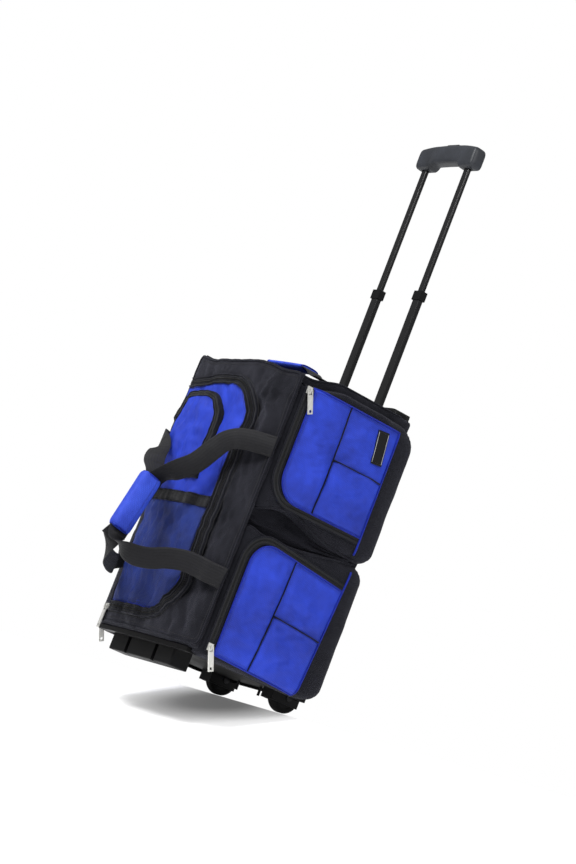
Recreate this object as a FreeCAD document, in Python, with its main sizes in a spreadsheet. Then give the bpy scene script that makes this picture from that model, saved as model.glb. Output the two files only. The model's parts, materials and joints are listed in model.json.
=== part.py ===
import FreeCAD, Part
import os
import re
import Sketcher
from FreeCAD import Placement, Rotation, Vector

# Rolling duffel bag, standing upright on two rear wheels and a front foot, trolley handle fully out.
# Frame: +Z up, -Y the face with the D-shaped zip and the carry handle, +X the right-hand side pockets.
# The origin is the middle of the footprint, on the floor. Millimetres.

doc = FreeCAD.newDocument("rolling_duffel")

SIZES = (
    # Body
    ("wall", 3, "thickness of a fabric panel with its lining"),
    ("body_half_width", 155, "centre plane to a side wall's outer face"),
    ("body_front", 77, "front edge of the side walls, ahead of the origin"),
    ("body_back", 205, "outer face of the back panel"),
    ("body_low", 38, "underside of the fabric bottom"),
    ("body_high", 575, "top of the fabric top"),
    ("front_half_width", 174, "centre plane to the front panel's side edge"),
    ("front_bulge", 17, "how far the middle of the front stands out from its side edges"),
    ("front_thick", 5, "padded front panel"),
    # D-shaped opening in the front
    ("flap_left", 158, "hinge edge of the flap, left of the centre plane"),
    ("flap_right", 108, "outer edge of the zip tape, right of the centre plane"),
    ("flap_low", 56, "outer edge of the zip tape, bottom run"),
    ("flap_high", 534, "outer edge of the zip tape, top run"),
    ("flap_corner", 85, "outer corner radius of the zip tape"),
    ("tape_wide", 30, "width of the main zip with its borders"),
    ("flap_pocket_thick", 9, "zipped pocket on the flap"),
    ("flap_pocket_right", 22, "centre plane to the right edge of the flap pocket"),
    ("flap_pocket_low", 306, "lower edge of the flap pocket"),
    ("flap_pocket_high", 500, "upper edge of the flap pocket"),
    ("flap_pocket_corner", 60, "upper right corner radius of the flap pocket"),
    ("mesh_thick", 5, "mesh pocket"),
    ("mesh_right", 66, "right edge of the mesh pocket"),
    ("mesh_low", 92, "lower edge of the mesh pocket"),
    ("mesh_high", 302, "upper edge of the mesh pocket"),
    # Side pockets
    ("pocket_thick", 26, "how far a side pocket stands out"),
    ("pocket_front", 68, "front edge of the side pockets, ahead of the origin"),
    ("pocket_back", 198, "back edge of the side pockets"),
    ("pocket_corner", 14, "rounding of a side pocket's outer edges"),
    ("pocket_skin", 2.5, "fabric of a side pocket"),
    ("upper_pocket_low", 308, "lower edge of the upper pockets"),
    ("upper_pocket_high", 555, "upper edge of the upper pockets"),
    ("lower_pocket_low", 30, "lower edge of the lower pockets"),
    ("lower_pocket_high", 266, "upper edge of the lower pockets"),
    ("zip_wide", 12, "visible width of a pocket zip"),
    ("zip_thick", 1.2, "thickness of a pocket zip"),
    ("zip_inset", 14, "edge of a pocket to the middle of its zip"),
    ("zip_bend", 45, "radius of the bend in a pocket zip"),
    # Zip slider and pull tab
    ("slider_long", 13, "slider body along the zip"),
    ("slider_wide", 10, "slider body across the zip"),
    ("slider_low", 0.3, "gap under a slider"),
    ("slider_top", 3, "top of a slider body"),
    ("arch_top", 8, "top of the bridge over a slider"),
    ("arch_bar", 1.4, "thickness of the bridge"),
    ("arch_long", 8.4, "length of the bridge"),
    ("arch_wide", 2, "width of the bridge"),
    ("pivot_out", 4.8, "pull tab's pivot above the zip"),
    ("pull_long", 42, "pivot to the end of a pull tab"),
    ("pull_wide", 10.6, "width of a pull tab"),
    ("pull_thick", 1.8, "thickness of a pull tab"),
    ("eye_wide", 6.6, "window of a pull tab, across"),
    ("eye_long", 8, "window of a pull tab, along"),
    ("pull_hole", 2.6, "radius of the hole near a pull tab's end"),
    ("main_slider_in", 28, "flap's hinge edge to the main slider"),
    ("flap_slider_drop", 150, "top of the flap pocket to its slider"),
    ("upper_slider_drop", 25, "top of the upper pocket to its slider"),
    ("lower_slider_rise", 20, "bottom of the lower pocket to its slider"),
    ("front_gap", 0.3, "extra gap under the sliders on the curved front"),
    ("pull_lean", 24, "degrees a side pull tab hangs off the zip's line"),
    # Trolley handle
    ("tube_pitch", 129, "distance between the two poles"),
    ("pole_y", 179, "centre plane of the poles"),
    ("tube_wall", 1, "wall of the moving tubes"),
    ("outer_wide", 23, "fixed tube, across the bag"),
    ("outer_deep", 14, "fixed tube, front to back"),
    ("outer_wall", 1.2, "wall of the fixed tube"),
    ("outer_low", 60, "lower end of the fixed tubes"),
    ("mid_wide", 20, "middle tube, across the bag"),
    ("mid_deep", 11, "middle tube, front to back"),
    ("mid_low", 500, "lower end of the middle tubes"),
    ("mid_high", 822, "upper end of the middle tubes"),
    ("upper_wide", 15.2, "upper tube, across the bag"),
    ("upper_deep", 8, "upper tube, front to back"),
    ("upper_low", 770, "lower end of the upper tubes"),
    ("upper_high", 1092, "upper end of the upper tubes"),
    ("tube_corner", 2.5, "outer corner radius of the tubes"),
    ("collar_wide", 23.4, "collar, across the bag"),
    ("collar_deep", 14.4, "collar, front to back"),
    ("collar_long", 18, "height of a collar"),
    ("collar_lip", 3, "lip of a collar over its tube's end"),
    ("slide_gap", 0.2, "clearance around a sliding tube"),
    ("block_flange", 12, "height of a lock block's guide flange"),
    ("block_plug", 10, "height of a lock block's plug in the tube"),
    ("rod_radius", 2, "push rod"),
    ("rod_low", 787, "lower end of the push rods"),
    ("pin_radius", 2.2, "lock pin"),
    ("pin_gap", 0.05, "radial clearance of a lock pin"),
    ("pin_long", 1, "length of a lock pin, flush with the middle tube's wall"),
    ("pin_height", 781, "centre of the lock pins"),
    # Grip
    ("grip_half_long", 87, "centre plane to an end of the grip"),
    ("grip_deep", 30, "grip, front to back"),
    ("grip_low", 1080, "lower end of the grip's sleeves"),
    ("grip_under", 1089, "underside of the grip between the sleeves"),
    ("grip_high", 1129, "top of the grip"),
    ("grip_sleeve", 44, "width of a sleeve around a tube"),
    ("grip_corner", 17, "corner radius of the grip's ends"),
    ("grip_edge", 6, "rounding of the grip's long edges"),
    ("channel_low", 1093.5, "floor of the channel inside the grip"),
    ("channel_high", 1105, "roof of the channel inside the grip"),
    ("channel_half_long", 71, "centre plane to an end of the channel"),
    ("channel_deep", 12, "channel inside the grip, front to back"),
    ("button_long", 34, "release button, across the bag"),
    ("button_deep", 12, "release button, front to back"),
    ("button_proud", 1.5, "release button above the grip"),
    ("button_gap", 0.4, "clearance around the release button"),
    ("yoke_low", 1099, "underside of the yoke on the button"),
    ("yoke_thick", 5, "yoke on the button"),
    ("yoke_half_long", 69, "centre plane to an end of the yoke"),
    ("yoke_deep", 8, "yoke, front to back"),
    # Base
    ("tray_low", 30, "lower edge of the base tray's rim"),
    ("tray_plate", 3, "plate of the base tray"),
    ("tray_rim", 3, "rim of the base tray"),
    ("tray_inset", 5, "base tray behind the side walls' outer faces"),
    ("foot_half_long", 105, "centre plane to an end of the stand foot"),
    ("foot_front", 68, "front of the stand foot, ahead of the origin"),
    ("foot_deep", 40, "stand foot, front to back"),
    ("notch_wide", 10, "notch in the stand foot"),
    ("notch_deep", 14, "depth of a notch in the stand foot"),
    ("notch_centre", 46, "centre plane to a notch"),
    ("foot_round", 4, "rounding of the stand foot"),
    ("wheel_x", 103, "centre plane to the middle of a wheel"),
    ("wheel_y", 186, "wheel axle, behind the origin"),
    ("wheel_radius", 30.5, "outer radius of a tyre"),
    ("hub_radius", 21, "outer radius of a wheel hub"),
    ("wheel_wide", 20, "width of a tyre"),
    ("hub_wide", 18, "width of a hub"),
    ("tyre_round", 5, "rounding of a tyre"),
    ("hub_hole", 4, "radius of a hub's lightening hole"),
    ("hub_hole_circle", 13, "centre of a wheel to a lightening hole"),
    ("hub_hole_count", 5, "lightening holes in a hub"),
    ("axle_radius", 4, "radius of an axle"),
    ("axle_gap", 0.05, "radial clearance of a hub on its axle"),
    ("axle_head", 6.5, "radius of an axle's head"),
    ("axle_head_thick", 2, "thickness of an axle's head"),
    ("housing_half_wide", 17.5, "middle of a wheel to a housing's side"),
    ("housing_wall", 3.5, "wall of a wheel housing"),
    ("housing_front", 36, "housing ahead of the axle"),
    ("housing_back", 24, "housing behind the axle"),
    ("housing_low", 16, "lower edge of a housing, above the floor"),
    ("housing_high", 68, "top of a housing, above the floor"),
    ("bracket_half_long", 84, "centre plane to an end of the tube bracket"),
    ("bracket_high", 76, "top of the tube bracket"),
    ("bracket_deep", 24, "tube bracket, front to back"),
    ("bezel_half_long", 150, "centre plane to an end of the bezel"),
    ("bezel_front", 160, "front edge of the bezel"),
    ("bezel_thick", 13, "height of the bezel's top plate"),
    ("bezel_back", 4, "thickness of the bezel's rear apron"),
    ("bezel_drop", 30, "drop of the rear apron"),
    ("screw_radius", 2.5, "shank of a base screw"),
    ("screw_head", 4.5, "radius of a screw's head"),
    ("screw_head_thick", 3, "thickness of a screw's head"),
    ("screw_grip", 20, "screw shank below the fabric bottom"),
    ("foot_screw_x", 75, "centre plane to a foot screw"),
    ("bracket_screw_x", 36, "centre plane to a bracket screw"),
    # Handles
    ("webbing_wide", 38, "width of the webbing"),
    ("webbing_thick", 2.2, "thickness of the webbing"),
    ("wrap_long", 120, "length of the padded wrap"),
    ("wrap_wide", 42, "width of the wrap"),
    ("wrap_thick", 24, "thickness of the wrap"),
    ("wrap_round", 9, "rounding of the wrap"),
    ("wrap_slot", 6.4, "slot in the wrap that holds both straps"),
    ("wrap_y", 185, "middle of the wrap, ahead of the origin"),
    ("wrap_z", 245, "height of the middle of the wrap"),
    ("wrap_lean", 12.6, "degrees the wrap's lower end hangs forward"),
    ("grab_half_long", 108, "centre plane to an end of the grab handle"),
    ("grab_y", 15, "centre line of the grab handle, behind the origin"),
    ("grab_rise", 24, "rise of the grab handle over the top panel"),
    ("sleeve_half_long", 62, "centre plane to an end of the grab handle's sleeve"),
    ("sleeve_wide", 44, "width of the sleeve"),
    ("sleeve_thick", 10, "thickness of the sleeve"),
)

sheet = doc.addObject("Spreadsheet::Sheet", "dims")
for row, (alias, value, note) in enumerate(SIZES, start=1):
    sheet.set(f"A{row}", alias)
    sheet.set(f"B{row}", str(value))
    sheet.set(f"C{row}", note)
    sheet.setAlias(f"B{row}", alias)
doc.recompute()

SIDES = (("left", -1), ("right", 1))
AXES = ("x", "y", "z")
nodes = []


def mm(alias):
    """The number in a spreadsheet cell."""
    return float(sheet.get(alias))


def expression(text):
    """Turn 'wall / 2' into 'dims.wall / 2'; functions and the unit deg stay as they are."""
    def name(match):
        word = match.group()
        return word if word in ("sqrt", "asin", "deg") else "dims." + word
    return re.sub(r"[a-z][a-z_]*", name, text)


def bind(item, bindings):
    for place, text in bindings.items():
        item.setExpression(place, expression(text))
    return item


def put(item, at):
    """Bind the position of a part to three expressions."""
    return bind(item, {f"Placement.Base.{axis}": text for axis, text in zip(AXES, at)})


def node(item, name):
    """Give a finished part its label, and keep it for the files."""
    item.Label = name
    nodes.append(item)
    return item


# Part primitives -----------------------------------------------------------------------------------

def box(name, low, high):
    """Box between two corners, both given as expressions."""
    item = doc.addObject("Part::Box", name)
    for side, start, end in zip(("Length", "Width", "Height"), low, high):
        bind(item, {side: f"({end}) - ({start})"})
    return put(item, low)


def rod(name, radius, length, at, axis=Vector(0, 0, 1)):
    """Cylinder from a point along an axis."""
    item = doc.addObject("Part::Cylinder", name)
    item.Placement = Placement(Vector(), Rotation(Vector(0, 0, 1), axis))
    bind(item, {"Radius": radius, "Height": length})
    return put(item, at)


def fuse(name, items):
    item = doc.addObject("Part::MultiFuse", name)
    item.Shapes = items
    return item


def cut(name, base, tool):
    item = doc.addObject("Part::Cut", name)
    item.Base, item.Tool = base, tool
    return item


def common(name, items):
    item = doc.addObject("Part::MultiCommon", name)
    item.Shapes = items
    return item


def group(name, items):
    """Separate solids that share one node."""
    item = doc.addObject("Part::Compound", name)
    item.Links = items
    return item


# Part Design bodies --------------------------------------------------------------------------------

def body(name):
    return doc.addObject("PartDesign::Body", name)


def origin(owner, role):
    return next(item for item in owner.Origin.OriginFeatures if item.Role == role)


def sketch(owner, name, plane, at=("0", "0", "0")):
    """Sketch on one of the body's own origin planes; at is its shift in the sketch's own axes."""
    item = owner.newObject("Sketcher::SketchObject", name)
    item.AttachmentSupport = (origin(owner, plane), [""])
    item.MapMode = "FlatFace"
    return bind(item, {f"AttachmentOffset.Base.{axis}": text for axis, text in zip(AXES, at)})


def rectangle(drawing, wide, high):
    """Rectangle centred on the sketch's origin."""
    corners = [Vector(x, y, 0) for x, y in ((-9, -6), (9, -6), (9, 6), (-9, 6))]
    lines = [Part.LineSegment(corners[i], corners[(i + 1) % 4]) for i in range(4)]
    first = drawing.addGeometry(lines, False)[0]
    for i in range(4):
        drawing.addConstraint(Sketcher.Constraint("Coincident", first + i, 2, first + (i + 1) % 4, 1))
        drawing.addConstraint(Sketcher.Constraint(("Horizontal", "Vertical")[i % 2], first + i))
    drawing.addConstraint(Sketcher.Constraint("Symmetric", first, 1, first + 2, 1, -1, 1))
    for kind, line, length in (("DistanceX", first, wide), ("DistanceY", first + 1, high)):
        index = drawing.addConstraint(Sketcher.Constraint(kind, line, 1, line, 2, 10.0))
        bind(drawing, {f"Constraints[{index}]": length})


def circle(drawing, radius):
    """Circle centred on the sketch's origin."""
    index = drawing.addGeometry(Part.Circle(Vector(), Vector(0, 0, 1), 10), False)
    drawing.addConstraint(Sketcher.Constraint("Coincident", index, 3, -1, 1))
    index = drawing.addConstraint(Sketcher.Constraint("Radius", index, 10.0))
    bind(drawing, {f"Constraints[{index}]": radius})


def extrude(owner, kind, name, profile, length, reverse=False):
    """Pad or Pocket of a sketch; both run along the sketch's normal unless reversed."""
    item = owner.newObject("PartDesign::" + kind, name)
    item.Profile = profile
    item.Reversed = reverse if kind == "Pad" else not reverse
    return bind(item, {"Length": length})


def fillet(owner, name, base, radius, wanted):
    """Round the edges that wanted(edge) picks."""
    doc.recompute()
    item = owner.newObject("PartDesign::Fillet", name)
    edges = [f"Edge{i}" for i, edge in enumerate(base.Shape.Edges, start=1) if wanted(edge)]
    item.Base = (base, edges)
    return bind(item, {"Radius": radius})


def along(direction):
    """Picks straight edges that run along a direction."""
    def wanted(edge):
        straight = edge.Curve.TypeId == "Part::GeomLine"
        return straight and abs(edge.tangentAt(edge.FirstParameter).dot(direction)) > 0.99
    return wanted


def at_level(axis, level):
    """Picks edges whose every point has one coordinate at a level."""
    def wanted(edge):
        bounds = edge.BoundBox
        low = getattr(bounds, axis + "Min")
        high = getattr(bounds, axis + "Max")
        return abs(low - level) < 0.01 and abs(high - level) < 0.01
    return wanted


# Body shell ------------------------------------------------------------------------------------------
# The front is a slab bent round an upright axis, so every front piece is cut from coaxial cylinders.

BULGE_RADIUS = "((front_half_width * front_half_width + front_bulge * front_bulge) / (2 * front_bulge))"
BULGE_Y = f"({BULGE_RADIUS} - body_front - front_bulge)"


def front_cylinder(name, outset):
    """Upright cylinder through the front's outer face, moved out by outset."""
    return rod(name, f"{BULGE_RADIUS} + ({outset})", "body_high - body_low", ("0", BULGE_Y, "body_low"))


def front_slab(name, outset, thick):
    return cut(name, front_cylinder(name + "_outside", outset),
               front_cylinder(name + "_inside", f"({outset}) - ({thick})"))


def front_prism(name, left, right, low, high, radius=None, corners=()):
    """Upright block through the front, with chosen front-to-back edges rounded (x sign, z sign)."""
    owner = body(name)
    middle = (f"(({right}) + ({left})) / 2", f"(({low}) + ({high})) / 2", "0")
    drawing = sketch(owner, name + "_outline", "XZ_Plane", middle)
    rectangle(drawing, f"({right}) - ({left})", f"({high}) - ({low})")
    deep = "body_front + 2 * front_bulge + flap_pocket_thick"
    block = extrude(owner, "Pad", name + "_block", drawing, deep)
    if corners:
        doc.recompute()
        middle = block.Shape.BoundBox.Center

        def wanted(edge):
            place = edge.CenterOfMass - middle
            upright = along(Vector(0, 1, 0))(edge)
            return upright and any(place.x * x > 0 and place.z * z > 0 for x, z in corners)
        fillet(owner, name + "_corners", block, radius, wanted)
    return owner


def make_front():
    """Surround, flap and main zip side by side in one slab, with two pockets on the flap."""
    right_corners = ((1, 1), (1, -1))
    outline = front_prism("surround_outline", "-front_half_width", "front_half_width",
                          "body_low", "body_high")
    tape_outline = front_prism("tape_outline", "-flap_left", "flap_right", "flap_low", "flap_high",
                               "flap_corner", right_corners)
    flap_outline = front_prism("flap_outline", "-flap_left", "flap_right - tape_wide", "flap_low + tape_wide",
                               "flap_high - tape_wide", "flap_corner - tape_wide", right_corners)
    slab = common("front_slab_trimmed", [front_slab("front_slab", "0", "front_thick"), outline])
    node(cut("surround", slab, tape_outline), "front_surround")
    node(cut("tape", common("tape_blank", [slab, tape_outline]), flap_outline), "main_zip_tape")
    node(common("flap", [slab, flap_outline]), "front_flap")

    pocket_outline = front_prism("flap_pocket_outline", "-flap_left + 8", "flap_pocket_right",
                                 "flap_pocket_low",
                                 "flap_pocket_high", "flap_pocket_corner", ((1, 1),))
    pocket_slab = front_slab("flap_pocket_slab", "flap_pocket_thick", "flap_pocket_thick")
    node(common("flap_pocket_shape", [pocket_slab, pocket_outline]), "flap_pocket")
    mesh_outline = front_prism("mesh_outline", "-flap_left + 8", "mesh_right", "mesh_low", "mesh_high",
                               "flap_corner - tape_wide - 6", ((1, -1),))
    mesh_slab = front_slab("mesh_slab", "mesh_thick", "mesh_thick")
    node(common("mesh_shape", [mesh_slab, mesh_outline]), "mesh_pocket")


def both_sides(name, make):
    """Fuse a left and a right copy of a tool."""
    return fuse(name, [make(side, sign) for side, sign in SIDES])


def make_shell():
    """Side walls, top, bottom and back, cleared for the poles, the wheel housings and the screws."""
    for side, sign in SIDES:
        inner, outer = f"{sign} * (body_half_width - wall)", f"{sign} * body_half_width"
        low_x, high_x = (outer, inner) if sign < 0 else (inner, outer)
        node(box(side + "_wall", (low_x, "-body_front + front_thick", "body_low + wall"),
                 (high_x, "body_back - wall", "body_high - wall")), f"side_wall_{side}")

    def floor_to_front(name, low, high):
        flat = box(name + "_flat", ("-body_half_width", "-body_front - front_bulge", low),
                   ("body_half_width", "body_back - wall", high))
        return common(name, [flat, front_cylinder(name + "_edge", "-front_thick")])

    tube_holes = both_sides("tube_holes", lambda side, sign: box(
        f"tube_hole_{side}",
        (f"{sign} * tube_pitch / 2 - outer_wide / 2", "pole_y - outer_deep / 2", "body_high - bezel_drop"),
        (f"{sign} * tube_pitch / 2 + outer_wide / 2", "pole_y + outer_deep / 2",
         "body_high + 2 * bezel_thick")))
    housing_space = both_sides("housing_space", lambda side, sign: box(
        f"housing_space_{side}",
        (f"{sign} * wheel_x - housing_half_wide - axle_head_thick", "wheel_y - housing_front", "0"),
        (f"{sign} * wheel_x + housing_half_wide + axle_head_thick", "body_back + wheel_radius",
         "housing_high")))
    node(cut("top", floor_to_front("top_blank", "body_high - wall", "body_high"), tube_holes), "top_panel")
    tools = fuse("bottom_tools", [housing_space, screw_shanks])
    node(cut("bottom", floor_to_front("bottom_blank", "body_low", "body_low + wall"), tools), "bottom_panel")
    back = box("back_blank", ("-body_half_width", "body_back - wall", "body_low"),
               ("body_half_width", "body_back", "body_high"))
    node(cut("back", back, housing_space), "back_panel")

    # Moulded tray under the fabric bottom: a plate with a rim turned down.
    inset = "body_half_width - tray_inset"
    blank = box("tray_blank", (f"-({inset})", "-body_front - front_bulge", "tray_low"),
                (inset, "body_back - tray_inset", "body_low"))
    hollow = box("tray_hollow", (f"-({inset} - tray_rim)", "-body_front + front_bulge", "tray_low"),
                 (f"{inset} - tray_rim", "body_back - tray_inset - tray_rim", "body_low - tray_plate"))
    shaped = common("tray_shaped", [blank, rod("tray_edge", f"{BULGE_RADIUS} - front_thick", "body_high",
                                               ("0", BULGE_Y, "0"))])
    foot_space = box("foot_space", ("-foot_half_long", "-foot_front", "tray_low"),
                     ("foot_half_long", "-foot_front + foot_deep", "body_low - tray_plate"))
    tools = fuse("tray_tools", [hollow, foot_space, housing_space, screw_shanks])
    node(cut("tray", shaped, tools), "base_tray")

    # Moulded bezel over the top back edge, with the two poles standing in it.
    plate = box("bezel_plate", ("-bezel_half_long", "bezel_front", "body_high"),
                ("bezel_half_long", "body_back + bezel_back", "body_high + bezel_thick"))
    apron = box("bezel_apron", ("-bezel_half_long", "body_back", "body_high - bezel_drop"),
                ("bezel_half_long", "body_back + bezel_back", "body_high + bezel_thick"))
    node(cut("bezel", fuse("bezel_blank", [plate, apron]), tube_holes), "tube_bezel")


def pocket_block(name, level, side, sign, inset):
    """Block with rounded outer edges on the side wall; inset draws it in from the pocket's outer skin."""
    low, high = f"{level}_pocket_low", f"{level}_pocket_high"
    owner = body(name)
    outline = sketch(owner, name + "_outline", "YZ_Plane", (
        "(pocket_back - pocket_front) / 2", f"({low} + {high}) / 2", f"{sign} * body_half_width"))
    rectangle(outline, f"pocket_back + pocket_front - 2 * {inset}", f"{high} - {low} - 2 * {inset}")
    pad = extrude(owner, "Pad", name + "_pad", outline, f"pocket_thick - {inset}", sign < 0)
    corners = fillet(owner, name + "_corners", pad, f"pocket_corner - {inset}", along(Vector(1, 0, 0)))
    doc.recompute()
    bounds = pad.Shape.BoundBox
    fillet(owner, name + "_edges", corners, f"pocket_corner - {inset} - 1",
           at_level("X", bounds.XMax if sign > 0 else bounds.XMin))
    return owner


def make_side_pockets():
    """Four hollow pockets, open only towards the side wall, and a bent zip strip on each."""
    for side, sign in SIDES:
        for level in ("upper", "lower"):
            name = f"{level}_pocket_{side}"
            outer = pocket_block(name + "_outer", level, side, sign, "0")
            inner = pocket_block(name + "_inner", level, side, sign, "pocket_skin")
            node(cut(name + "_shell", outer, inner), name)
        item = doc.addObject("Part::Feature", f"zips_{side}")
        item.Shape = Part.makeCompound([zip_strip(level, sign) for level in ("upper", "lower")])
        node(item, f"pocket_zips_{side}")


def zip_strip(level, sign):
    """Zip on a side pocket's outer face: down the front edge, round a bend, then along one edge.

    The upper pocket's zip bends into its lower edge, the lower pocket's into its upper edge.
    """
    low, high = mm(f"{level}_pocket_low"), mm(f"{level}_pocket_high")
    start, end = (high, low) if level == "upper" else (low, high)
    step = 1 if end > start else -1
    inset, half, bend = mm("zip_inset"), mm("zip_wide") / 2, mm("zip_bend")
    front, back = -mm("pocket_front") + inset, mm("pocket_back") - mm("pocket_corner") - inset
    level_z = end - step * inset
    face = sign * (mm("body_half_width") + mm("pocket_thick"))

    def rail(offset):
        """Edge of the strip: an upright run, a quarter bend and a level run, offset sideways."""
        radius = bend - offset
        centre = Vector(face, front + bend, level_z - step * bend)
        upright = Vector(face, front + offset, start + step * inset)
        bend_start = centre + Vector(0, -radius, 0)
        bend_middle = centre + Vector(0, -radius, step * radius) * 0.5 ** 0.5
        bend_end = centre + Vector(0, 0, step * radius)
        level_end = Vector(face, back, bend_end.z)
        return upright, bend_start, bend_middle, bend_end, level_end

    a, b = rail(-half), rail(half)
    edges = (Part.makeLine(a[0], a[1]), Part.Arc(a[1], a[2], a[3]).toShape(), Part.makeLine(a[3], a[4]),
             Part.makeLine(a[4], b[4]), Part.makeLine(b[4], b[3]), Part.Arc(b[3], b[2], b[1]).toShape(),
             Part.makeLine(b[1], b[0]), Part.makeLine(b[0], a[0]))
    return Part.Face(Part.Wire(edges)).extrude(Vector(sign * mm("zip_thick"), 0, 0))


# Zip sliders and pull tabs ---------------------------------------------------------------------------
# Both are drawn with +X away from the cloth and the pull tab hanging towards -Z.

OUTWARD = {"left": "180", "right": "0"}


def face_out(item, turn):
    """Turn a part about the upright axis, by an expression in degrees, so that its +X faces outward."""
    item.Placement = Placement(Vector(), Rotation(Vector(0, 0, 1), 1))
    return bind(item, {"Placement.Rotation.Angle": turn})


def slider(name, turn, at, across=False):
    """Slider body with a bridge that the pull tab hangs from."""
    halves = ("slider_long / 2", "slider_wide / 2")
    half_y, half_z = halves if across else halves[::-1]
    base = box(name + "_base", ("slider_low", f"-{half_y}", f"-{half_z}"), ("slider_top", half_y, half_z))
    bridge = box(name + "_bridge", ("slider_top", "-arch_wide / 2", "-arch_long / 2"),
                 ("arch_top", "arch_wide / 2", "arch_long / 2"))
    window = box(name + "_window", ("slider_top", "-arch_wide", "-arch_long / 2 + arch_bar"),
                 ("arch_top - arch_bar", "arch_wide", "arch_long / 2 - arch_bar"))
    item = face_out(fuse(name + "_solid", [base, cut(name + "_arch", bridge, window)]), turn)
    return node(put(item, at), name)


def pull_tab(name, turn, at, lean="0"):
    """Flat tab whose eye loops through a slider's bridge; lean tilts it in its own plane."""
    plate = box(name + "_plate", ("-pull_thick / 2", "-pull_wide / 2", "-pull_long"),
                ("pull_thick / 2", "pull_wide / 2", "pull_thick / 2"))
    eye = box(name + "_eye", ("-pull_thick", "-eye_wide / 2", "-eye_long"),
              ("pull_thick", "eye_wide / 2", "-pull_thick / 2"))
    hole = rod(name + "_hole", "pull_hole", "4 * pull_thick",
               ("-2 * pull_thick", "0", "-pull_long + 2 * pull_hole"), Vector(1, 0, 0))
    leaning = cut(name + "_flat", plate, fuse(name + "_tools", [eye, hole]))
    leaning.Placement = Placement(Vector(), Rotation(Vector(1, 0, 0), 1))
    bind(leaning, {"Placement.Rotation.Angle": lean})
    return node(put(face_out(group(name + "_solid", [leaning]), turn), at), name)


MAIN_ZIP_Z = "flap_low + tape_wide / 2"


def on_front(x, outset, z):
    """Turn and place for a part on the bulging front at a given x, moved out by outset."""
    radius = f"({BULGE_RADIUS} + {outset})"
    y = f"{BULGE_Y} - sqrt({radius} * {radius} - ({x}) * ({x}))"
    return f"asin(({x}) / {radius}) - 90 deg", (x, y, z)


def make_zip_hardware():
    for side, sign in SIDES:
        face = f"{sign} * (body_half_width + pocket_thick + zip_thick)"
        pivot = f"{sign} * (body_half_width + pocket_thick + zip_thick + pivot_out)"
        lean = f"{sign} * pull_lean"
        line = "-pocket_front + zip_inset"
        for level, height in (("upper", "upper_pocket_high - upper_slider_drop"),
                              ("lower", "lower_pocket_low + lower_slider_rise")):
            slider(f"{level}_zip_slider_{side}", OUTWARD[side], (face, line, height))
            pull_tab(f"{level}_zip_pull_{side}", OUTWARD[side], (pivot, line, height), lean)
    slider("main_zip_slider", *on_front("-flap_left + main_slider_in", "front_gap", MAIN_ZIP_Z), across=True)
    pull_tab("main_zip_pull", *on_front("-flap_left + main_slider_in", "front_gap + pivot_out", MAIN_ZIP_Z))
    slider("flap_zip_slider", *on_front("flap_pocket_right - zip_inset", "flap_pocket_thick + front_gap",
                                        "flap_pocket_high - flap_slider_drop"))


# Trolley handle --------------------------------------------------------------------------------------

def tube(name, wide, deep, thick, low, high, at_x):
    """Rounded rectangular tube standing on a pole's line."""
    owner = body(name + "_tube")
    section = sketch(owner, name + "_section", "XY_Plane")
    rectangle(section, wide, deep)
    pad = extrude(owner, "Pad", name + "_pad", section, f"({high}) - ({low})")
    fillet(owner, name + "_corners", pad, "tube_corner", along(Vector(0, 0, 1)))
    bore = sketch(owner, name + "_bore", "XY_Plane")
    rectangle(bore, f"{wide} - 2 * {thick}", f"{deep} - 2 * {thick}")
    inside = extrude(owner, "Pocket", name + "_inside", bore, f"({high}) - ({low})")
    doc.recompute()
    half_x = (owner.Shape.BoundBox.XLength - 2 * mm(thick)) / 2
    fillet(owner, name + "_inner_corners", inside, f"tube_corner - {thick}",
           lambda edge: along(Vector(0, 0, 1))(edge) and abs(abs(edge.CenterOfMass.x) - half_x) < 0.01
           and abs(edge.CenterOfMass.y) > mm("upper_deep") / 4)
    return put(owner, (at_x, "pole_y", low))


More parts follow.
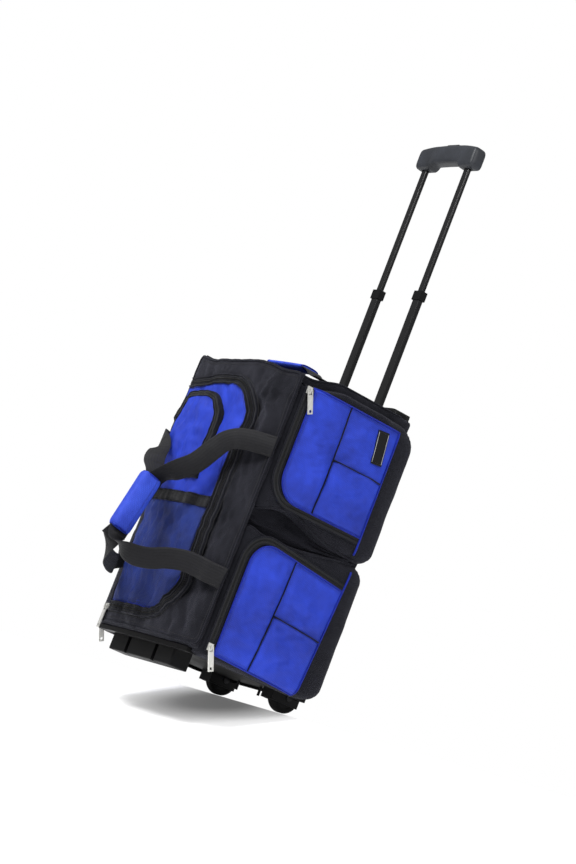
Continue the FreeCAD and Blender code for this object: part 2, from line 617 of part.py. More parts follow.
def make_handle():
    """Fixed tubes, middle stage and upper stage of the telescopic handle, with its lock."""
    for side, sign in SIDES:
        at_x = f"{sign} * tube_pitch / 2"
        node(tube(f"outer_{side}", "outer_wide", "outer_deep", "outer_wall", "outer_low",
                  "body_high + bezel_thick", at_x), f"frame_tube_{side}")

        # The lock pin sits in the middle tube's wall, on the side that faces the other pole.
        inward = Vector(-sign, 0, 0)
        wall_x = f"{at_x} - {sign} * (mid_wide / 2 - tube_wall)"
        middle = tube(f"mid_{side}", "mid_wide", "mid_deep", "tube_wall", "mid_low", "mid_high", at_x)
        hole = rod(f"pin_hole_{side}", "pin_radius + pin_gap", "2 * pin_long",
                   (f"{wall_x} + {sign} * pin_long / 2", "pole_y", "pin_height"), inward)
        node(cut(f"mid_drilled_{side}", middle, hole), f"mid_tube_{side}")
        node(rod(f"pin_{side}", "pin_radius", "pin_long", (wall_x, "pole_y", "pin_height"), inward),
             f"lock_pin_{side}")

        collar_low = "mid_high + collar_lip - collar_long"
        sleeve = box(f"collar_sleeve_{side}",
                     (f"{at_x} - collar_wide / 2", "pole_y - collar_deep / 2", collar_low),
                     (f"{at_x} + collar_wide / 2", "pole_y + collar_deep / 2", "mid_high + collar_lip"))
        seat = tube_solid(f"collar_seat_{side}", "mid_wide", "mid_deep", "tube_corner",
                          collar_low, "mid_high", at_x)
        mouth = tube_solid(f"collar_mouth_{side}", "upper_wide + 2 * slide_gap", "upper_deep + 2 * slide_gap",
                           "tube_corner", "mid_high - 1", "mid_high + 2 * collar_lip", at_x)
        tools = fuse(f"collar_tools_{side}", [seat, mouth])
        node(cut(f"collar_shape_{side}", sleeve, tools), f"collar_{side}")
        node(tube(f"upper_{side}", "upper_wide", "upper_deep", "tube_wall", "upper_low", "upper_high", at_x),
             f"upper_tube_{side}")
        node(rod(f"rod_{side}", "rod_radius", "yoke_low - rod_low", (at_x, "pole_y", "rod_low")),
             f"push_rod_{side}")

    blocks = []
    for side, sign in SIDES:
        at_x = f"{sign} * tube_pitch / 2"
        plug = tube_solid(f"block_plug_{side}", "upper_wide - 2 * tube_wall", "upper_deep - 2 * tube_wall",
                          "tube_corner - tube_wall", "upper_low", "upper_low + block_plug", at_x)
        flange = tube_solid(f"block_flange_{side}", "mid_wide - 2 * tube_wall - 2 * slide_gap",
                            "mid_deep - 2 * tube_wall - 2 * slide_gap", "tube_corner - tube_wall",
                            "upper_low - block_flange", "upper_low", at_x)
        blocks.append(fuse(f"block_{side}", [plug, flange]))
    node(group("blocks", blocks), "lock_blocks")
    make_grip()


def tube_solid(name, wide, deep, corner, low, high, at_x):
    """Solid bar with a tube's rounded rectangular section."""
    owner = body(name)
    section = sketch(owner, name + "_section", "XY_Plane")
    rectangle(section, wide, deep)
    pad = extrude(owner, "Pad", name + "_pad", section, f"({high}) - ({low})")
    fillet(owner, name + "_corners", pad, corner, along(Vector(0, 0, 1)))
    return put(owner, (at_x, "pole_y", low))


def make_grip():
    """Moulded grip with a sleeve on each tube, and the release button with its yoke."""
    owner = body("grip_moulding")
    outline = sketch(owner, "grip_outline", "XZ_Plane", ("0", "(grip_high - grip_low) / 2", "-grip_deep / 2"))
    rectangle(outline, "2 * grip_half_long", "grip_high - grip_low")
    pad = extrude(owner, "Pad", "grip_pad", outline, "grip_deep")
    doc.recompute()
    top = pad.Shape.BoundBox.ZMax
    ends = fillet(owner, "grip_ends", pad, "grip_corner",
                  lambda edge: along(Vector(0, 1, 0))(edge) and edge.CenterOfMass.z > top - 1)
    doc.recompute()
    half = mm("grip_deep") / 2
    fillet(owner, "grip_edges", ends, "grip_edge",
           lambda edge: abs(abs(edge.CenterOfMass.y) - half) < 0.01 and edge.BoundBox.YLength < 0.01
           and edge.CenterOfMass.z > 1)
    recess = sketch(owner, "grip_recess", "XZ_Plane", ("0", "0", "-grip_deep"))
    rectangle(recess, "2 * (grip_half_long - grip_sleeve)", "2 * (grip_under - grip_low)")
    extrude(owner, "Pocket", "grip_under_cut", recess, "2 * grip_deep")
    put(owner, ("0", "pole_y", "grip_low"))

    channel = box("grip_channel", ("-channel_half_long", "pole_y - channel_deep / 2", "channel_low"),
                  ("channel_half_long", "pole_y + channel_deep / 2", "channel_high"))
    well = box("button_well",
               ("-button_long / 2 - button_gap", "pole_y - button_deep / 2 - button_gap", "channel_low"),
               ("button_long / 2 + button_gap", "pole_y + button_deep / 2 + button_gap", "grip_high + 1"))
    tools = [channel, well]
    for side, sign in SIDES:
        at_x = f"{sign} * tube_pitch / 2"
        tools.append(tube_solid(f"grip_socket_{side}", "upper_wide", "upper_deep", "tube_corner",
                                "grip_low - 1", "upper_high", at_x))
        tools.append(rod(f"grip_rod_hole_{side}", "rod_radius + slide_gap", "3 * collar_lip",
                         (at_x, "pole_y", "upper_high - 1")))
    node(cut("grip", owner, fuse("grip_tools", tools)), "trolley_grip")

    yoke = box("button_yoke", ("-yoke_half_long", "pole_y - yoke_deep / 2", "yoke_low"),
               ("yoke_half_long", "pole_y + yoke_deep / 2", "yoke_low + yoke_thick"))
    cap = box("button_cap", ("-button_long / 2", "pole_y - button_deep / 2", "yoke_low"),
              ("button_long / 2", "pole_y + button_deep / 2", "grip_high + button_proud"))
    node(fuse("button", [yoke, cap]), "grip_button")


# Base --------------------------------------------------------------------------------------------------

def screw(name, at_x, at_y):
    """Screw driven down from inside: its head on the fabric bottom, its shank in what lies below."""
    shank = rod(name + "_shank", "screw_radius", "screw_grip + wall", (at_x, at_y, "body_low - screw_grip"))
    head = rod(name + "_head", "screw_head", "screw_head_thick", (at_x, at_y, "body_low + wall"))
    return shank, head


def make_base():
    """Stand foot, wheels in their housings, and the bracket that ties the fixed tubes to the base."""
    owner = body("foot_moulding")
    outline = sketch(owner, "foot_outline", "XY_Plane")
    rectangle(outline, "2 * foot_half_long", "foot_deep")
    pad = extrude(owner, "Pad", "foot_pad", outline, "body_low - tray_plate")
    corners = fillet(owner, "foot_corners", pad, "foot_round", along(Vector(0, 0, 1)))
    doc.recompute()
    fillet(owner, "foot_edges", corners, "foot_round / 2", at_level("Z", 0))
    put(owner, ("0", "-foot_front + foot_deep / 2", "0"))
    notches = both_sides("foot_notches", lambda side, sign: box(
        f"foot_notch_{side}",
        (f"{sign} * notch_centre - notch_wide / 2", "-foot_front - 1", "-1"),
        (f"{sign} * notch_centre + notch_wide / 2", "-foot_front + notch_deep", "tray_low")))
    node(cut("foot", owner, fuse("foot_tools", [notches, screw_shanks])), "stand_foot")

    bracket = box("bracket_blank",
                  ("-bracket_half_long", "pole_y - bracket_deep / 2", "body_low + wall + screw_head_thick"),
                  ("bracket_half_long", "pole_y + bracket_deep / 2", "bracket_high"))
    sockets = both_sides("bracket_sockets", lambda side, sign: box(
        f"bracket_socket_{side}",
        (f"{sign} * tube_pitch / 2 - outer_wide / 2", "pole_y - outer_deep / 2", "outer_low"),
        (f"{sign} * tube_pitch / 2 + outer_wide / 2", "pole_y + outer_deep / 2", "bracket_high + 1")))
    feet = box("bracket_foot",
               ("-bracket_screw_x - 2 * screw_head", "pole_y - bracket_deep / 2", "body_low + wall"),
               ("bracket_screw_x + 2 * screw_head", "pole_y + bracket_deep / 2", "bracket_high"))
    tools = fuse("bracket_tools", [sockets, screw_heads, screw_shanks])
    node(cut("bracket", fuse("bracket_solid", [bracket, feet]), tools), "tube_bracket")

    for side, sign in SIDES:
        at_x = f"{sign} * wheel_x"
        tyre = body(f"tyre_ring_{side}")
        rings = sketch(tyre, f"tyre_rings_{side}", "YZ_Plane", ("0", "0", "-wheel_wide / 2"))
        circle(rings, "wheel_radius")
        circle(rings, "hub_radius")
        pad = extrude(tyre, "Pad", f"tyre_pad_{side}", rings, "wheel_wide")
        fillet(tyre, f"tyre_edges_{side}", pad, "tyre_round",
               lambda edge: edge.Length > 6.2 * (mm("hub_radius") + 1))
        node(put(tyre, (at_x, "wheel_y", "wheel_radius")), f"tyre_{side}")

        hub = body(f"hub_disc_{side}")
        disc = sketch(hub, f"hub_outline_{side}", "YZ_Plane", ("0", "0", "-hub_wide / 2"))
        circle(disc, "hub_radius")
        circle(disc, "axle_radius + axle_gap")
        extrude(hub, "Pad", f"hub_pad_{side}", disc, "hub_wide")
        lightening = sketch(hub, f"hub_lightening_{side}", "YZ_Plane",
                            ("0", "hub_hole_circle", "-hub_wide / 2"))
        circle(lightening, "hub_hole")
        drilled = extrude(hub, "Pocket", f"hub_hole_{side}", lightening, "hub_wide")
        pattern = hub.newObject("PartDesign::PolarPattern", f"hub_holes_{side}")
        pattern.Originals = [drilled]
        pattern.Axis = (origin(hub, "X_Axis"), [""])
        pattern.Angle = 360
        bind(pattern, {"Occurrences": "hub_hole_count"})
        hub.Tip = pattern
        node(put(hub, (at_x, "wheel_y", "wheel_radius")), f"wheel_hub_{side}")

        half = "housing_half_wide"
        shank = rod(f"axle_shank_{side}", "axle_radius", f"2 * {half}",
                    (f"{at_x} - {half}", "wheel_y", "wheel_radius"),
                    Vector(1, 0, 0))
        outer_head = rod(f"axle_outer_head_{side}", "axle_head", "axle_head_thick",
                         (f"{at_x} + {half}", "wheel_y", "wheel_radius"), Vector(1, 0, 0))
        inner_head = rod(f"axle_inner_head_{side}", "axle_head", "axle_head_thick",
                         (f"{at_x} - {half} - axle_head_thick", "wheel_y", "wheel_radius"), Vector(1, 0, 0))
        node(fuse(f"axle_solid_{side}", [shank, outer_head, inner_head]), f"axle_{side}")

        shell = box(f"housing_shell_{side}", (f"{at_x} - {half}", "wheel_y - housing_front", "housing_low"),
                    (f"{at_x} + {half}", "wheel_y + housing_back", "housing_high"))
        hollow = box(f"housing_hollow_{side}",
                     (f"{at_x} - {half} + housing_wall", "wheel_y - housing_front + housing_wall",
                      "housing_low"),
                     (f"{at_x} + {half} - housing_wall", "wheel_y + housing_front",
                      "housing_high - housing_wall"))
        axle_hole = rod(f"axle_hole_{side}", "axle_radius", f"2 * {half}",
                        (f"{at_x} - {half}", "wheel_y", "wheel_radius"), Vector(1, 0, 0))
        node(cut(f"housing_{side}", shell, fuse(f"housing_tools_{side}", [hollow, axle_hole])),
             f"wheel_housing_{side}")


# Webbing handles ---------------------------------------------------------------------------------------

def ribbon(stations, wide, thick):
    """Flat strap through stations of (middle, width direction), as a ruled loft of rectangles."""
    sections = []
    for i, (middle, across) in enumerate(stations):
        before, after = stations[max(i - 1, 0)][0], stations[min(i + 1, len(stations) - 1)][0]
        forward = (after - before).normalize()
        across = (across - forward * across.dot(forward)).normalize() * (wide / 2)
        outward = forward.cross(across).normalize() * (thick / 2)
        corners = [middle + across + outward, middle - across + outward,
                   middle - across - outward, middle + across - outward]
        sections.append(Part.makePolygon(corners + corners[:1]))
    return Part.makeLoft(sections, True, True)


def mirrored(stations):
    """The stations of the other side's strap."""
    return [(Vector(-p.x, p.y, p.z), Vector(-a.x, a.y, a.z)) for p, a in stations]


def make_handles():
    """Two webbing loops sewn to the front's side seams and held together by a padded wrap,
    and a webbing grab handle with a padded sleeve on the top."""
    wide, thick = mm("webbing_wide"), mm("webbing_thick")
    lean = Rotation(Vector(1, 0, 0), -mm("wrap_lean"))
    wrap_middle = Vector(0, -mm("wrap_y"), mm("wrap_z"))
    reach = mm("wrap_long") / 2 + 7
    apart = mm("wrap_slot") / 4
    wrap_top = wrap_middle + lean.multVec(Vector(apart, 0, reach))
    wrap_bottom = wrap_middle + lean.multVec(Vector(apart, 0, -reach))
    flat = lean.multVec(Vector(0, -1, 0))
    up = Vector(0, 0, 1)
    seam_x, seam_y = mm("front_half_width"), -mm("body_front") - thick
    stations = [
        (Vector(seam_x, seam_y, 414), up),
        (Vector(142, -106, 412), up),
        (Vector(98, -113, 407), up),
        (Vector(78, -130, 356), up),
        (Vector(28, -163, 320), Vector(-0.3, -0.8, 0.5)),
        (wrap_top, flat),
        (wrap_bottom, flat),
        (Vector(34, -190, 176), Vector(0, -0.7, 0.7)),
        (Vector(58, -155, 168), Vector(0, -0.2, 1)),
        (Vector(84, -109, 184), up),
        (Vector(136, -103, 185), up),
        (Vector(seam_x, seam_y, 184), up),
    ]
    straps = {}
    for side, path in (("right", stations), ("left", mirrored(stations))):
        strap = doc.addObject("Part::Feature", f"strap_{side}")
        strap.Shape = ribbon(path, wide, thick)
        straps[side] = node(strap, f"carry_strap_{side}")

    owner = body("wrap_pad")
    section = sketch(owner, "wrap_section", "XY_Plane", ("0", "0", "-wrap_long / 2"))
    rectangle(section, "wrap_thick", "wrap_wide")
    pad = extrude(owner, "Pad", "wrap_block", section, "wrap_long")
    fillet(owner, "wrap_edges", pad, "wrap_round", along(Vector(0, 0, 1)))
    slot = sketch(owner, "wrap_slot_outline", "XY_Plane", ("0", "0", "-wrap_long / 2"))
    rectangle(slot, "wrap_slot", "webbing_wide + 0.6")
    extrude(owner, "Pocket", "wrap_slot_cut", slot, "wrap_long")
    owner.Placement = Placement(wrap_middle, lean)
    node(put(owner, ("0", "-wrap_y", "wrap_z")), "carry_wrap")

    top, rise, half_long = mm("body_high"), mm("grab_rise"), mm("grab_half_long")
    y = mm("grab_y")
    across = Vector(0, 1, 0)
    profile = [(-half_long, 0), (-half_long + 22, 0), (-mm("sleeve_half_long") - 6, rise * 0.8),
               (-mm("sleeve_half_long"), rise), (mm("sleeve_half_long"), rise),
               (mm("sleeve_half_long") + 6, rise * 0.8), (half_long - 22, 0), (half_long, 0)]
    path = [(Vector(x, y, top + thick / 2 + 0.1 + z), across) for x, z in profile]
    webbing = doc.addObject("Part::Feature", "grab_strap")
    webbing.Shape = ribbon(path, wide, thick)
    node(webbing, "grab_webbing")
    middle = "body_high + webbing_thick / 2 + 0.1 + grab_rise"
    sleeve = box("sleeve_block",
                 ("-sleeve_half_long", "grab_y - sleeve_wide / 2", f"{middle} - sleeve_thick / 2"),
                 ("sleeve_half_long", "grab_y + sleeve_wide / 2", f"{middle} + sleeve_thick / 2"))
    node(cut("sleeve", sleeve, webbing), "grab_sleeve")


# Assembly ----------------------------------------------------------------------------------------------

screw_parts = [screw(f"foot_screw_{side}", f"{sign} * foot_screw_x",
                     "-foot_front + foot_deep / 2 + notch_deep / 2")
               for side, sign in SIDES]
screw_parts += [screw(f"bracket_screw_{side}", f"{sign} * bracket_screw_x", "pole_y") for side, sign in SIDES]
screw_shanks = fuse("screw_shanks", [shank for shank, head in screw_parts])
screw_heads = fuse("screw_heads", [head for shank, head in screw_parts])
node(group("screws", [fuse(f"screw_{i}", list(pair)) for i, pair in enumerate(screw_parts)]), "base_screws")

make_front()
make_shell()
make_side_pockets()
make_zip_hardware()
make_handle()
make_base()
make_handles()
doc.recompute()

problems = [f"{item.Name}: {item.State}" for item in doc.Objects
            if "Invalid" in item.State or "Error" in item.State]
problems += [f"{item.Label}: bad shape" for item in nodes if item.Shape.isNull() or not item.Shape.isValid()]
if problems:
    raise RuntimeError("; ".join(problems))

os.makedirs("parts", exist_ok=True)
for item in nodes:
    item.Shape.exportStep(f"parts/{item.Label}.step")
print(len(nodes), "parts written")
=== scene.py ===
import json
import math

import bmesh
import bpy
from mathutils import Matrix, Vector, noise


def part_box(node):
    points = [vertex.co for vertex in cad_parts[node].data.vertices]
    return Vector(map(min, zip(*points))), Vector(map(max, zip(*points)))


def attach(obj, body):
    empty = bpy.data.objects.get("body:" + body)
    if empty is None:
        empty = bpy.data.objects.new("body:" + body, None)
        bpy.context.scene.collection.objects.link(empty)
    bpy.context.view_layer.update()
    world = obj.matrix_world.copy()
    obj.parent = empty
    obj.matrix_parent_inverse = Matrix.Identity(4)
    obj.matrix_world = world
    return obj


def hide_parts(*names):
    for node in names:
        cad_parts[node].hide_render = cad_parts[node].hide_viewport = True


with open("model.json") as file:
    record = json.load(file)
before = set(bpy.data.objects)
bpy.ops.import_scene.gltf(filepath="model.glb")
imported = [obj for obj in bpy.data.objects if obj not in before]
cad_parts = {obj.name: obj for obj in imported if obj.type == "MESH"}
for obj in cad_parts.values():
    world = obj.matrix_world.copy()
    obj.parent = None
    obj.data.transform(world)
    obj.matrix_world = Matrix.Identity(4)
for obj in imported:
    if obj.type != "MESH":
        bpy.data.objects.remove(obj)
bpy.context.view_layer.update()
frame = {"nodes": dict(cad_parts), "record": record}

# Rolling bowling bag. Metres, in the CAD frame: +Z up the poles, -Y the front with the D-shaped zip,
# +X the right-hand side pockets. Soft pieces are built here on a few shared surfaces, and the moulded
# and metal pieces of the CAD model get their finishes.

MM = 0.001
SIDES = (("left", -1), ("right", 1))
FRONTWARD = Vector((0, -1, 0))
CLOTH = 1.2 * MM                  # thickness of the cloth patches
STITCH = 4.2, (3.1, 0.8, 0.5)     # pitch and size of a stitch, in millimetres
STRAP = 38, 2.2                   # width and thickness of the webbing, in millimetres

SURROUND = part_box("front_surround")
SIDE_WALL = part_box("side_wall_right")
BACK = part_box("back_panel")
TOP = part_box("top_panel")
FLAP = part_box("front_flap")
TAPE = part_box("main_zip_tape")
FLAP_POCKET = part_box("flap_pocket")
MESH_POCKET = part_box("mesh_pocket")
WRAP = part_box("carry_wrap")
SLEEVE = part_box("grab_sleeve")
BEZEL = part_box("tube_bezel")
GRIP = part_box("trolley_grip")


# Numbers and curves ------------------------------------------

def lerp(a, b, t):
    return a + (b - a) * t


def run(a, b, count):
    """From a to b in count equal steps."""
    return [lerp(a, b, k / count) for k in range(count + 1)]


def ease(t):
    """0 below 0, 1 above 1, and smooth between."""
    t = min(max(t, 0.0), 1.0)
    return t * t * (3 - 2 * t)


def rough(size, *place, octaves=3):
    """Soft noise between about -0.5 and 0.5, with bumps of that size."""
    return noise.fractal(Vector(place) / size, 1.0, 2.0, octaves)


def rounded(corners, step):
    """Points along an open line of (across, up, radius) corners, each rounded off by its radius."""
    points = []
    for i, (x, z, radius) in enumerate(corners):
        corner = Vector((x, z))
        if radius == 0:
            points.append(corner)
            continue
        arrive = (corner - Vector(corners[i - 1][:2])).normalized()
        leave = (Vector(corners[i + 1][:2]) - corner).normalized()
        turn = math.atan2(arrive.cross(leave), arrive.dot(leave))
        start = corner - arrive * radius * math.tan(abs(turn) / 2)
        middle = start + Vector((-arrive.y, arrive.x)) * math.copysign(radius, turn)
        count = max(4, round(abs(turn) * radius / step))
        points += [middle + Matrix.Rotation(turn * k / count, 2) @ (start - middle) for k in range(count + 1)]
    return spaced(points, step)


def spaced(points, step):
    """The same line with points at equal distances of about step."""
    lengths = [0.0]
    for a, b in zip(points, points[1:]):
        lengths.append(lengths[-1] + (b - a).length)
    count = max(1, round(lengths[-1] / step))
    result, i = [], 0
    for k in range(count + 1):
        at = lengths[-1] * k / count
        while i < len(points) - 2 and lengths[i + 1] < at:
            i += 1
        span = lengths[i + 1] - lengths[i] or 1.0
        result.append(points[i].lerp(points[i + 1], min(max((at - lengths[i]) / span, 0.0), 1.0)))
    return result


def through(points, per_span):
    """A smooth line through the points, with per_span steps from each to the next."""
    result = []
    for i in range(len(points) - 1):
        a, b, c, d = (points[min(max(i + k, 0), len(points) - 1)] for k in (-1, 0, 1, 2))
        for k in range(per_span):
            t = k / per_span
            result.append(0.5 * (2 * b + (c - a) * t + (2 * a - 5 * b + 4 * c - d) * t * t
                                 + (3 * b - a - 3 * c + d) * t * t * t))
    return result + [points[-1]]


def bow(edge, low, high, low_radius, high_radius, inward):
    """An upright edge whose ends turn inward by those radii, as a function of height."""
    def at(z):
        turned = 0.0
        for end, radius in ((low, low_radius), (high, high_radius)):
            inside = abs(z - end)
            if radius and inside < radius:
                turned = radius - math.sqrt(max(radius ** 2 - (radius - inside) ** 2, 0.0))
        return edge + inward * turned
    return at


def levels(low, high, step, low_radius=0.0, high_radius=0.0):
    """Heights from low to high, closer together where an edge turns in."""
    turns = 9
    heights = [low + low_radius * (1 - math.cos(math.pi / 2 * k / turns)) for k in range(turns) if low_radius]
    heights += [low] if not low_radius else []
    start, end = low + low_radius, high - high_radius
    count = max(1, round((end - start) / step))
    heights += run(start, end, count)[0 if low_radius else 1:]
    heights += [high - high_radius * (1 - math.sin(math.pi / 2 * k / turns))
                for k in range(1, turns + 1) if high_radius]
    return heights


# Materials ---------------------------------------------------

def colour(red, green, blue):
    """An sRGB colour of 0 to 255 as the shader wants it."""
    return tuple(v / 12.92 if v <= 0.04045 else ((v + 0.055) / 1.055) ** 2.4
                 for v in (red / 255, green / 255, blue / 255)) + (1.0,)


class Look:
    """A material in the making, with short calls for its nodes. Pitches and depths are in metres here."""

    def __init__(self, name, **sockets):
        self.material = bpy.data.materials.new(name)
        self.material.use_nodes = True
        self.tree = self.material.node_tree
        self.shader = self.tree.nodes["Principled BSDF"]
        self.place = self.tree.nodes.new("ShaderNodeTexCoord").outputs["Object"]
        self.cloth = self.tree.nodes.new("ShaderNodeUVMap").outputs["UV"]
        for key, value in sockets.items():
            self.shader.inputs[key.replace("_", " ")].default_value = value

    def add(self, kind, *inputs, **settings):
        node = self.tree.nodes.new("ShaderNode" + kind)
        for key, value in settings.items():
            setattr(node, key, value)
        for socket, value in zip(node.inputs, inputs):
            if isinstance(value, bpy.types.NodeSocket):
                self.tree.links.new(value, socket)
            elif value is not None:
                socket.default_value = value
        return node.outputs[0]

    def math(self, operation, a, b=0.0):
        return self.add("Math", a, b, operation=operation)

    def noise(self, where, scale, detail=3.0, stretch=(1, 1, 1)):
        moved = self.add("Mapping", where)
        moved.node.inputs["Scale"].default_value = stretch
        made = self.add("TexNoise", moved)
        made.node.inputs["Scale"].default_value = scale
        made.node.inputs["Detail"].default_value = detail
        return made

    def wave(self, where, direction, pitch):
        """1 on the crests and 0 in the troughs of lines that repeat every pitch along direction."""
        along = Vector(direction).normalized() * (2 * math.pi / pitch)
        phase = self.add("VectorMath", where, tuple(along), operation="DOT_PRODUCT").node.outputs["Value"]
        return self.add("Math", self.math("COSINE", phase), 0.5, 0.5, operation="MULTIPLY_ADD")

    def sum(self, *parts):
        """The parts' total, each given as (socket, weight)."""
        total = None
        for socket, weight in parts:
            scaled = self.math("MULTIPLY", socket, weight)
            total = scaled if total is None else self.math("ADD", total, scaled)
        return total

    def ramp(self, factor, *stops):
        ramp = self.tree.nodes.new("ShaderNodeValToRGB")
        self.tree.links.new(factor, ramp.inputs[0])
        elements = ramp.color_ramp.elements
        while len(elements) < len(stops):
            elements.new(0.5)
        for element, (position, value) in zip(elements, stops):
            element.position = position
            element.color = value
        return ramp.outputs["Color"]

    def paint(self, factor, *stops):
        self.tree.links.new(self.ramp(factor, *stops), self.shader.inputs["Base Color"])

    def gloss(self, factor, low, high):
        """Roughness from low to high as factor goes from 0 to 1."""
        made = self.add("MapRange", factor, 0.0, 1.0, low, high)
        self.tree.links.new(made, self.shader.inputs["Roughness"])

    def bump(self, height, distance):
        made = self.tree.nodes.new("ShaderNodeBump")
        made.inputs["Strength"].default_value = 1.0
        made.inputs["Distance"].default_value = distance
        self.tree.links.new(height, made.inputs["Height"])
        self.tree.links.new(made.outputs["Normal"], self.shader.inputs["Normal"])


COOL = colour(228, 230, 255)      # the faint blue of light that grazes black cloth


def plain_weave(name, dark, light, pitch, tint=0.35):
    """Plain-woven polyester, its pitch in millimetres: threads, slubs, and colour as uneven as tint."""
    look = Look(name, Sheen_Weight=0.08, Sheen_Tint=COOL, Sheen_Roughness=0.45, Specular_Tint=COOL,
                Specular_IOR_Level=0.12)
    warp, weft = (look.wave(look.cloth, direction, pitch * MM) for direction in ((1, 0, 0), (0, 1, 0)))
    threads = look.math("MULTIPLY", warp, weft)
    slubs = look.noise(look.place, 420, 2.0)
    patches = look.noise(look.place, 14, 4.0)
    body = look.math("SUBTRACT", look.sum((threads, 0.3), (slubs, 0.35), (patches, tint)), tint / 2 - 0.17)
    look.paint(body, (0.15, dark), (0.85, light))
    look.gloss(patches, 0.62, 0.86)
    look.bump(look.sum((threads, 1.0), (slubs, 0.5)), 0.35 * MM)
    return look.material


def celled(name, dark, light, size, wrapped=False, holes=False):
    """Patterned cloth: small six-sided cells, each a raised pad or, in a mesh, an open hole."""
    look = Look(name, Sheen_Weight=0.12, Sheen_Tint=light, Sheen_Roughness=0.4, Specular_IOR_Level=0.28)
    if wrapped:     # the pattern goes round a piece that has no map of its own
        where, across, along = look.place, Vector((0.707, 0.707, 0)), Vector((0, 0, 1))
    else:
        where, across, along = look.cloth, Vector((1, 0, 0)), Vector((0, 1, 0))
    size, waves = size * MM, []
    for turn in (15, 75, 135):
        direction = across * math.cos(math.radians(turn)) + along * math.sin(math.radians(turn))
        waves.append((look.wave(where, direction, size * 0.866), 0.333))
    cells = look.sum(*waves)
    threads = look.math("MULTIPLY", look.wave(where, across, 0.7 * MM), look.wave(where, along, 0.7 * MM))
    patches = look.noise(look.place, 13, 3.0, (1, 0.6, 1))
    worn = look.noise(look.place, 60, 4.0)
    body = look.sum((cells, -0.7 if holes else 0.35), (threads, 0.12), (patches, 1.0), (worn, 0.4))
    body = look.math("ADD", body, 0.2 if holes else -0.36)
    look.paint(body, (0.12, dark), (0.82, light))
    look.gloss(patches, 0.5, 0.74)
    look.bump(look.sum((cells, -1.0 if holes else 1.0), (threads, 0.25)), (0.7 if holes else 0.45) * MM)
    return look.material


def ribbed(name, dark, light, pitch):
    """Webbing or zip tape: ribs across the length, and a few heavier lines along it."""
    look = Look(name, Sheen_Weight=0.06, Specular_IOR_Level=0.2)
    ribs = look.wave(look.cloth, (1, 0, 0), pitch * MM)
    lines = look.wave(look.cloth, (0, 1, 0), 3 * pitch * MM)
    fuzz = look.noise(look.place, 500, 2.0)
    patches = look.noise(look.place, 20, 3.0)
    look.paint(look.sum((ribs, 0.3), (lines, 0.15), (fuzz, 0.2), (patches, 0.35)), (0.15, dark), (0.9, light))
    look.gloss(fuzz, 0.5, 0.8)
    look.bump(look.sum((ribs, 1.0), (lines, 0.6), (fuzz, 0.4)), 0.3 * MM)
    return look.material


def moulded(name, dark, light, low, high, grain, depth, stretch=(1, 1, 1), **sockets):
    """A hard finish with fine grain, slow colour changes and slightly worn gloss."""
    look = Look(name, **sockets)
    pores = look.noise(look.place, grain, 2.0, stretch)
    wear = look.noise(look.place, 26, 4.0, stretch)
    look.paint(look.sum((pores, 0.3), (wear, 0.7)), (0.3, dark), (0.75, light))
    look.gloss(wear, low, high)
    look.bump(pores, depth * MM)
    return look.material


BLACK = plain_weave("black_polyester", colour(3, 3, 4), colour(35, 35, 40), 0.9, tint=1.3)
BLACK_SMOOTH = plain_weave("black_smooth_polyester", colour(2, 2, 3), colour(23, 23, 27), 0.5, tint=1.0)
PIPING = plain_weave("black_piping", colour(3, 3, 4), colour(24, 24, 28), 0.6)
BLUE = celled("blue_dobby", colour(4, 22, 108), colour(32, 60, 186), 3.4)
BLUE_WRAPPED = celled("blue_dobby_wrapped", colour(16, 36, 140), colour(52, 80, 202), 3.4, wrapped=True)
BLUE_PIPING = plain_weave("blue_piping", colour(6, 20, 112), colour(34, 56, 184), 0.6)
BLUE_MESH = celled("blue_mesh", colour(2, 6, 32), colour(22, 44, 118), 2.6, holes=True)
WEBBING = ribbed("webbing", colour(3, 3, 5), colour(19, 19, 24), 1.7)
ZIP_TAPE = ribbed("zip_tape", colour(9, 10, 11), colour(36, 37, 41), 1.1)
COIL = moulded("zip_coil", colour(5, 5, 6), colour(20, 20, 22), 0.35, 0.55, 700, 0.05, Specular_IOR_Level=0.2)
THREAD = moulded("thread", colour(14, 14, 17), colour(38, 38, 42), 0.6, 0.8, 900, 0.05)
BLUE_THREAD = moulded("blue_thread", colour(12, 24, 108), colour(34, 52, 156), 0.6, 0.8, 900, 0.05)
LABEL = moulded("label_rubber", colour(4, 4, 5), colour(12, 12, 14), 0.5, 0.7, 500, 0.04,
                Specular_IOR_Level=0.2)
LABEL_EDGE = moulded("label_edge", colour(130, 132, 138), colour(170, 172, 178), 0.5, 0.7, 500, 0.04)
NICKEL = moulded("nickel", colour(186, 186, 181), colour(232, 231, 227), 0.2, 0.4, 300, 0.03,
                 (1, 1, 0.2), Metallic=0.55)
TUBE = moulded("satin_black_tube", colour(5, 5, 6), colour(16, 16, 18), 0.2, 0.34, 60, 0.002,
               (1, 1, 0.04), Specular_IOR_Level=0.3)
PLASTIC = moulded("black_plastic", colour(2, 2, 3), colour(6, 6, 8), 0.45, 0.65, 1100, 0.04,
                  Specular_IOR_Level=0.15)
GRIP_PLASTIC = moulded("grip_plastic", colour(22, 24, 28), colour(42, 45, 52), 0.42, 0.6, 900, 0.04,
                       Specular_IOR_Level=0.35)
RUBBER = moulded("tyre_rubber", colour(3, 3, 3), colour(14, 14, 15), 0.65, 0.9, 600, 0.06,
                 Specular_IOR_Level=0.15)
STEEL = moulded("dark_steel", colour(26, 26, 28), colour(52, 52, 54), 0.3, 0.5, 300, 0.02, Metallic=0.8)

